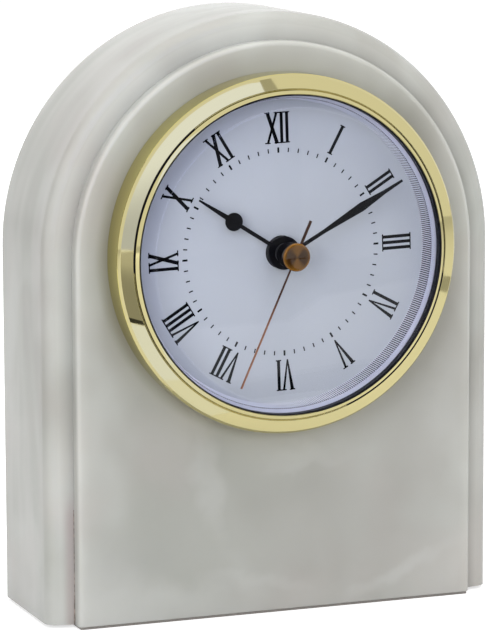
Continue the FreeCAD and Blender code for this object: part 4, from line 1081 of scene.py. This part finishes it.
# %% Wires on the coil
tree = finishes["enamelled_copper"].node_tree
winding_low, winding_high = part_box("coil_winding")
coil_axis = max(range(3), key=lambda axis: winding_high[axis] - winding_low[axis])
wires_per_metre = 5000.0
turns = arithmetic(tree, "MULTIPLY", place_parts(tree)[coil_axis], 2 * math.pi * wires_per_metre)
bump(tree, tree.nodes["Principled BSDF"], arithmetic(tree, "SINE", turns), 0.00005)
print("wires are stacked along", "XYZ"[coil_axis])

# %% [markdown]
# ## The back of the movement
#
# The back is plain, but a plain cover still has what its mould and its maker gave it: crossed slots in the
# screws, grip ribs round the setting knob, an arrow that says which way to turn it, and marks that say which
# way round the battery goes. They are flat shapes given a thickness, and the ring tree makes the grip ribs.

# %% Crossed slots in the screws
head_back = height_of("movement_screws", "back")
screw_low, screw_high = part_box("movement_screws")
head_radius = 1.7
slot_half, slot_width, slot_depth = 0.85, 0.32, 0.2
screw_rights = [screw_low.x / MM + head_radius, screw_high.x / MM - head_radius]
lowest, highest = (screw_low.z - axis_height) / MM, (screw_high.z - axis_height) / MM
slots = []
for right in screw_rights:
    for up in (lowest + head_radius, highest - head_radius):
        slots.append(bar((right - slot_half, up), (right + slot_half, up), slot_width))
        slots.append(bar((right, up - slot_half), (right, up + slot_half), slot_width))
# The slots are dark solids in the heads: painted shade for the recesses.
slot_mesh = onto_dial(printed("screw_slots", slots, head_back - 0.015, head_back + slot_depth))
piece(slot_mesh, "insert", None, moulded("slot_shadow", (0.01, 0.01, 0.01), (0.02, 0.02, 0.02), 0.6))
print("slots", len(slots))

# %% Grip ribs on the setting knob
knob_low, knob_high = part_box("setting_knob")
knob_right = (knob_low.x + knob_high.x) / 2 / MM
knob_up = ((knob_low.z + knob_high.z) / 2 - axis_height) / MM
knob_radius = (knob_high.x - knob_low.x) / 2 / MM
knob_front, knob_back = height_of("setting_knob", "front"), height_of("setting_knob", "back")
grip_count = 30
root, crest = knob_radius - 0.15, knob_radius + 0.14
grip_outline = [(-0.26, root), (0.26, root), (0.12, crest), (-0.12, crest)]
one_grip = printed("knob_grip", [grip_outline], knob_back + 0.25, (knob_back + knob_front) / 2 + 1.1)
grips = ring_of("setting_knob_grips", one_grip, grip_count, (0, 0, 0), finishes["grip_grey"])
piece(onto_dial(grips, right=knob_right, up=knob_up), "setting", None)
print(f"{grip_count} grips round a knob of radius {knob_radius:.2f}")

# %% An arrow round the knob, and the battery's marks
cover_back = height_of("movement_back_cover", "back")
arrow_radius, arrow_from, arrow_to, arrow_steps = 7.6, 200, 330, 18
line_width, head_length, head_width = 0.5, 2.0, 2.0
knob_middle = Vector((knob_right, knob_up))
ends = []
for step in range(arrow_steps + 1):
    angle = math.radians(arrow_from + (arrow_to - arrow_from) * step / arrow_steps)
    ends.append(knob_middle + arrow_radius * Vector((math.cos(angle), math.sin(angle))))
raised = [bar(start, end, line_width) for start, end in zip(ends, ends[1:])]
ahead = (ends[-1] - ends[-2]).normalized()
raised.append(bar(ends[-1], ends[-1] + ahead * head_length, head_width, 0.05))
mark_right, mark_up, mark_half = 20, -9.2, 1.2
plus_side = 1 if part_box("battery_terminal")[0].x > 0 else -1
for middle, is_plus in ((plus_side * mark_right, True), (-plus_side * mark_right, False)):
    raised.append(bar((middle - mark_half, mark_up), (middle + mark_half, mark_up), line_width))
    if is_plus:
        raised.append(bar((middle, mark_up - mark_half), (middle, mark_up + mark_half), line_width))
marks_mesh = onto_dial(printed("cover_marks", raised, cover_back - 0.22, cover_back + 0.05))
piece(marks_mesh, "insert", None, finishes["grip_grey"])
print("raised marks", len(raised))

# %% [markdown]
# ## The floor
#
# The clock stands on a pale floor. Seen straight it is as white as the background, apart from the shadow
# under the clock. Part of its brightness is its own, for the camera and for mirrors only, so that the floor
# reads white without any more light on the clock.

# %% Floor
def flat_sheet(name, corners):
    """An object with one flat face."""
    mesh = bpy.data.meshes.new(name)
    mesh.from_pydata(corners, [], [tuple(range(len(corners)))])
    sheet = bpy.data.objects.new(name, mesh)
    scene.collection.objects.link(sheet)
    return sheet


reach = 3.0
mirrored_light, own_light = 0.28, 0.66
floor = flat_sheet("floor", [(-reach, -reach, 0), (reach, -reach, 0), (reach, reach, 0), (-reach, reach, 0)])
floor_white, tree, shader = new_material(
    "floor_white", Base_Color=(0.75, 0.75, 0.75, 1.0), Roughness=0.9, Specular_IOR_Level=0.1,
    Emission_Color=white,
)
path = add(tree, "ShaderNodeLightPath").outputs
mirrored = arithmetic(tree, "MAXIMUM", path["Is Glossy Ray"], path["Is Transmission Ray"])
seen = arithmetic(tree, "MULTIPLY", path["Is Camera Ray"], own_light)
seen = arithmetic(tree, "MULTIPLY_ADD", mirrored, mirrored_light, seen)
straight = arithmetic(tree, "LESS_THAN", path["Diffuse Depth"], first_matt_bounce)
feed(shader, Emission_Strength=product(tree, seen, straight))
floor.data.materials.append(floor_white)
print("floor ready")

# %% [markdown]
# A studio also has dark things in it, and polished metal needs them: without something dark to mirror, brass
# looks like yellow paint. A few cards stand where a photographer's stand and flags would. Only mirrors see
# them, so they take no light from the clock.

# %% Cards that only mirrors see
def mirror_card(name, corners, level, tint=(1.0, 1.0, 1.0)):
    """A flat card that only mirrors see. Its level is a number, or an axis and two stops of a soft step."""
    card = flat_sheet(name, corners)
    paint = bpy.data.materials.new(name)
    paint.use_nodes = True
    tree = paint.node_tree
    tree.nodes.clear()
    if isinstance(level, tuple):
        axis, low, high = level
        level = ramp(tree, place_parts(tree)[axis], low, high)
    glow = add(tree, "ShaderNodeEmission", Color=(*tint, 1.0), Strength=level)
    add(tree, "ShaderNodeOutputMaterial", Surface=glow.outputs[0])
    card.data.materials.append(paint)
    card.visible_camera = False
    card.visible_diffuse = False
    card.visible_shadow = False


def upright_card(x0, x1, y, z0, z1):
    """The corners of a card that stands across the view."""
    return [(x0, y, z0), (x1, y, z0), (x1, y, z1), (x0, y, z1)]


def floor_strip(*points, height=0.003):
    """The corners of a card that lies on the floor."""
    return [(x, y, height) for x, y in points]


veil_middle = Vector((0.0589, -0.177, 0.0698))
veil_scale = 1.724


def veil(*dial_points):
    """The corners of an upright card that the glass mirrors at these points of the dial, in millimetres."""
    return [veil_middle + Vector((right * MM, 0, up * MM)) * veil_scale for right, up in dial_points]


print("card helpers ready")

# %% Cards that the glass mirrors
mirror_card("dial_veil", upright_card(-0.06, 0.30, -0.178, 0.004, 0.145), 0.02)
mirror_card("veil_upper_right", veil((1, 40), (40, 40), (40, 0), (14, -2), (1, 2)), 0.20)
mirror_card("veil_upper_left", veil((-40, 40), (-9, 40), (-4, 4), (-40, 2)), 0.10)
mirror_card("veil_lower", veil((-40, -17), (-2, -17), (8, -11), (40, -9), (40, -30), (-40, -34)), 0.44)
print("veils ready")

# %% Cards that the brass mirrors
stand_level = ("Y", (-0.62, 0.66), (-0.28, 0.38))
window_level = ("Z", (0.12, 0.70), (0.66, 1.13))
window_tint = (1.03, 1.12, 1.65)
stand = floor_strip((-0.10, -0.175), (-0.15, -0.155), (-0.80, -0.98), (-0.42, -1.15))
stand_end = floor_strip((-0.094, -0.165), (-0.135, -0.145), (-0.15, -0.155), (-0.10, -0.175), height=0.004)
flag = [(-0.5, 0.08, 0.002), (-0.5, 0.36, 0.002), (-0.5, 0.36, 0.50), (-0.5, 0.08, 0.50)]
right_edge = floor_strip((0.285, -0.13), (0.36, -0.155), (0.36, -0.08), (0.285, -0.07))
glare = floor_strip((0.11, -0.33), (0.24, -0.33), (0.60, -1.1), (0.25, -1.1))
pale_floor = floor_strip((-0.135, -0.145), (-0.094, -0.165), (-0.03, -0.10), (-0.07, -0.065))
paler_floor = floor_strip((-0.07, -0.065), (-0.03, -0.10), (0.0, -0.07), (-0.04, -0.04))
mirror_card("camera_stand", stand, stand_level)
mirror_card("stand_end", stand_end, 0.05)
mirror_card("left_flag", flag, 0.02)
mirror_card("right_edge", right_edge, 0.5)
mirror_card("window_low", upright_card(-0.98, -0.30, -1.2, 0.0, 0.28), window_level, window_tint)
mirror_card("window_high", upright_card(-0.98, 0.36, -1.2, 0.28, 1.3), window_level, window_tint)
mirror_card("floor_glare", glare, 1.2)
mirror_card("window_frame", upright_card(0.36, 0.48, -1.2, 0.3, 1.4), 0.55)
mirror_card("pale_floor", pale_floor, 1.0, (1.10, 1.18, 1.60))
mirror_card("paler_floor", paler_floor, 1.0, (1.08, 1.12, 1.30))
print("cards ready")
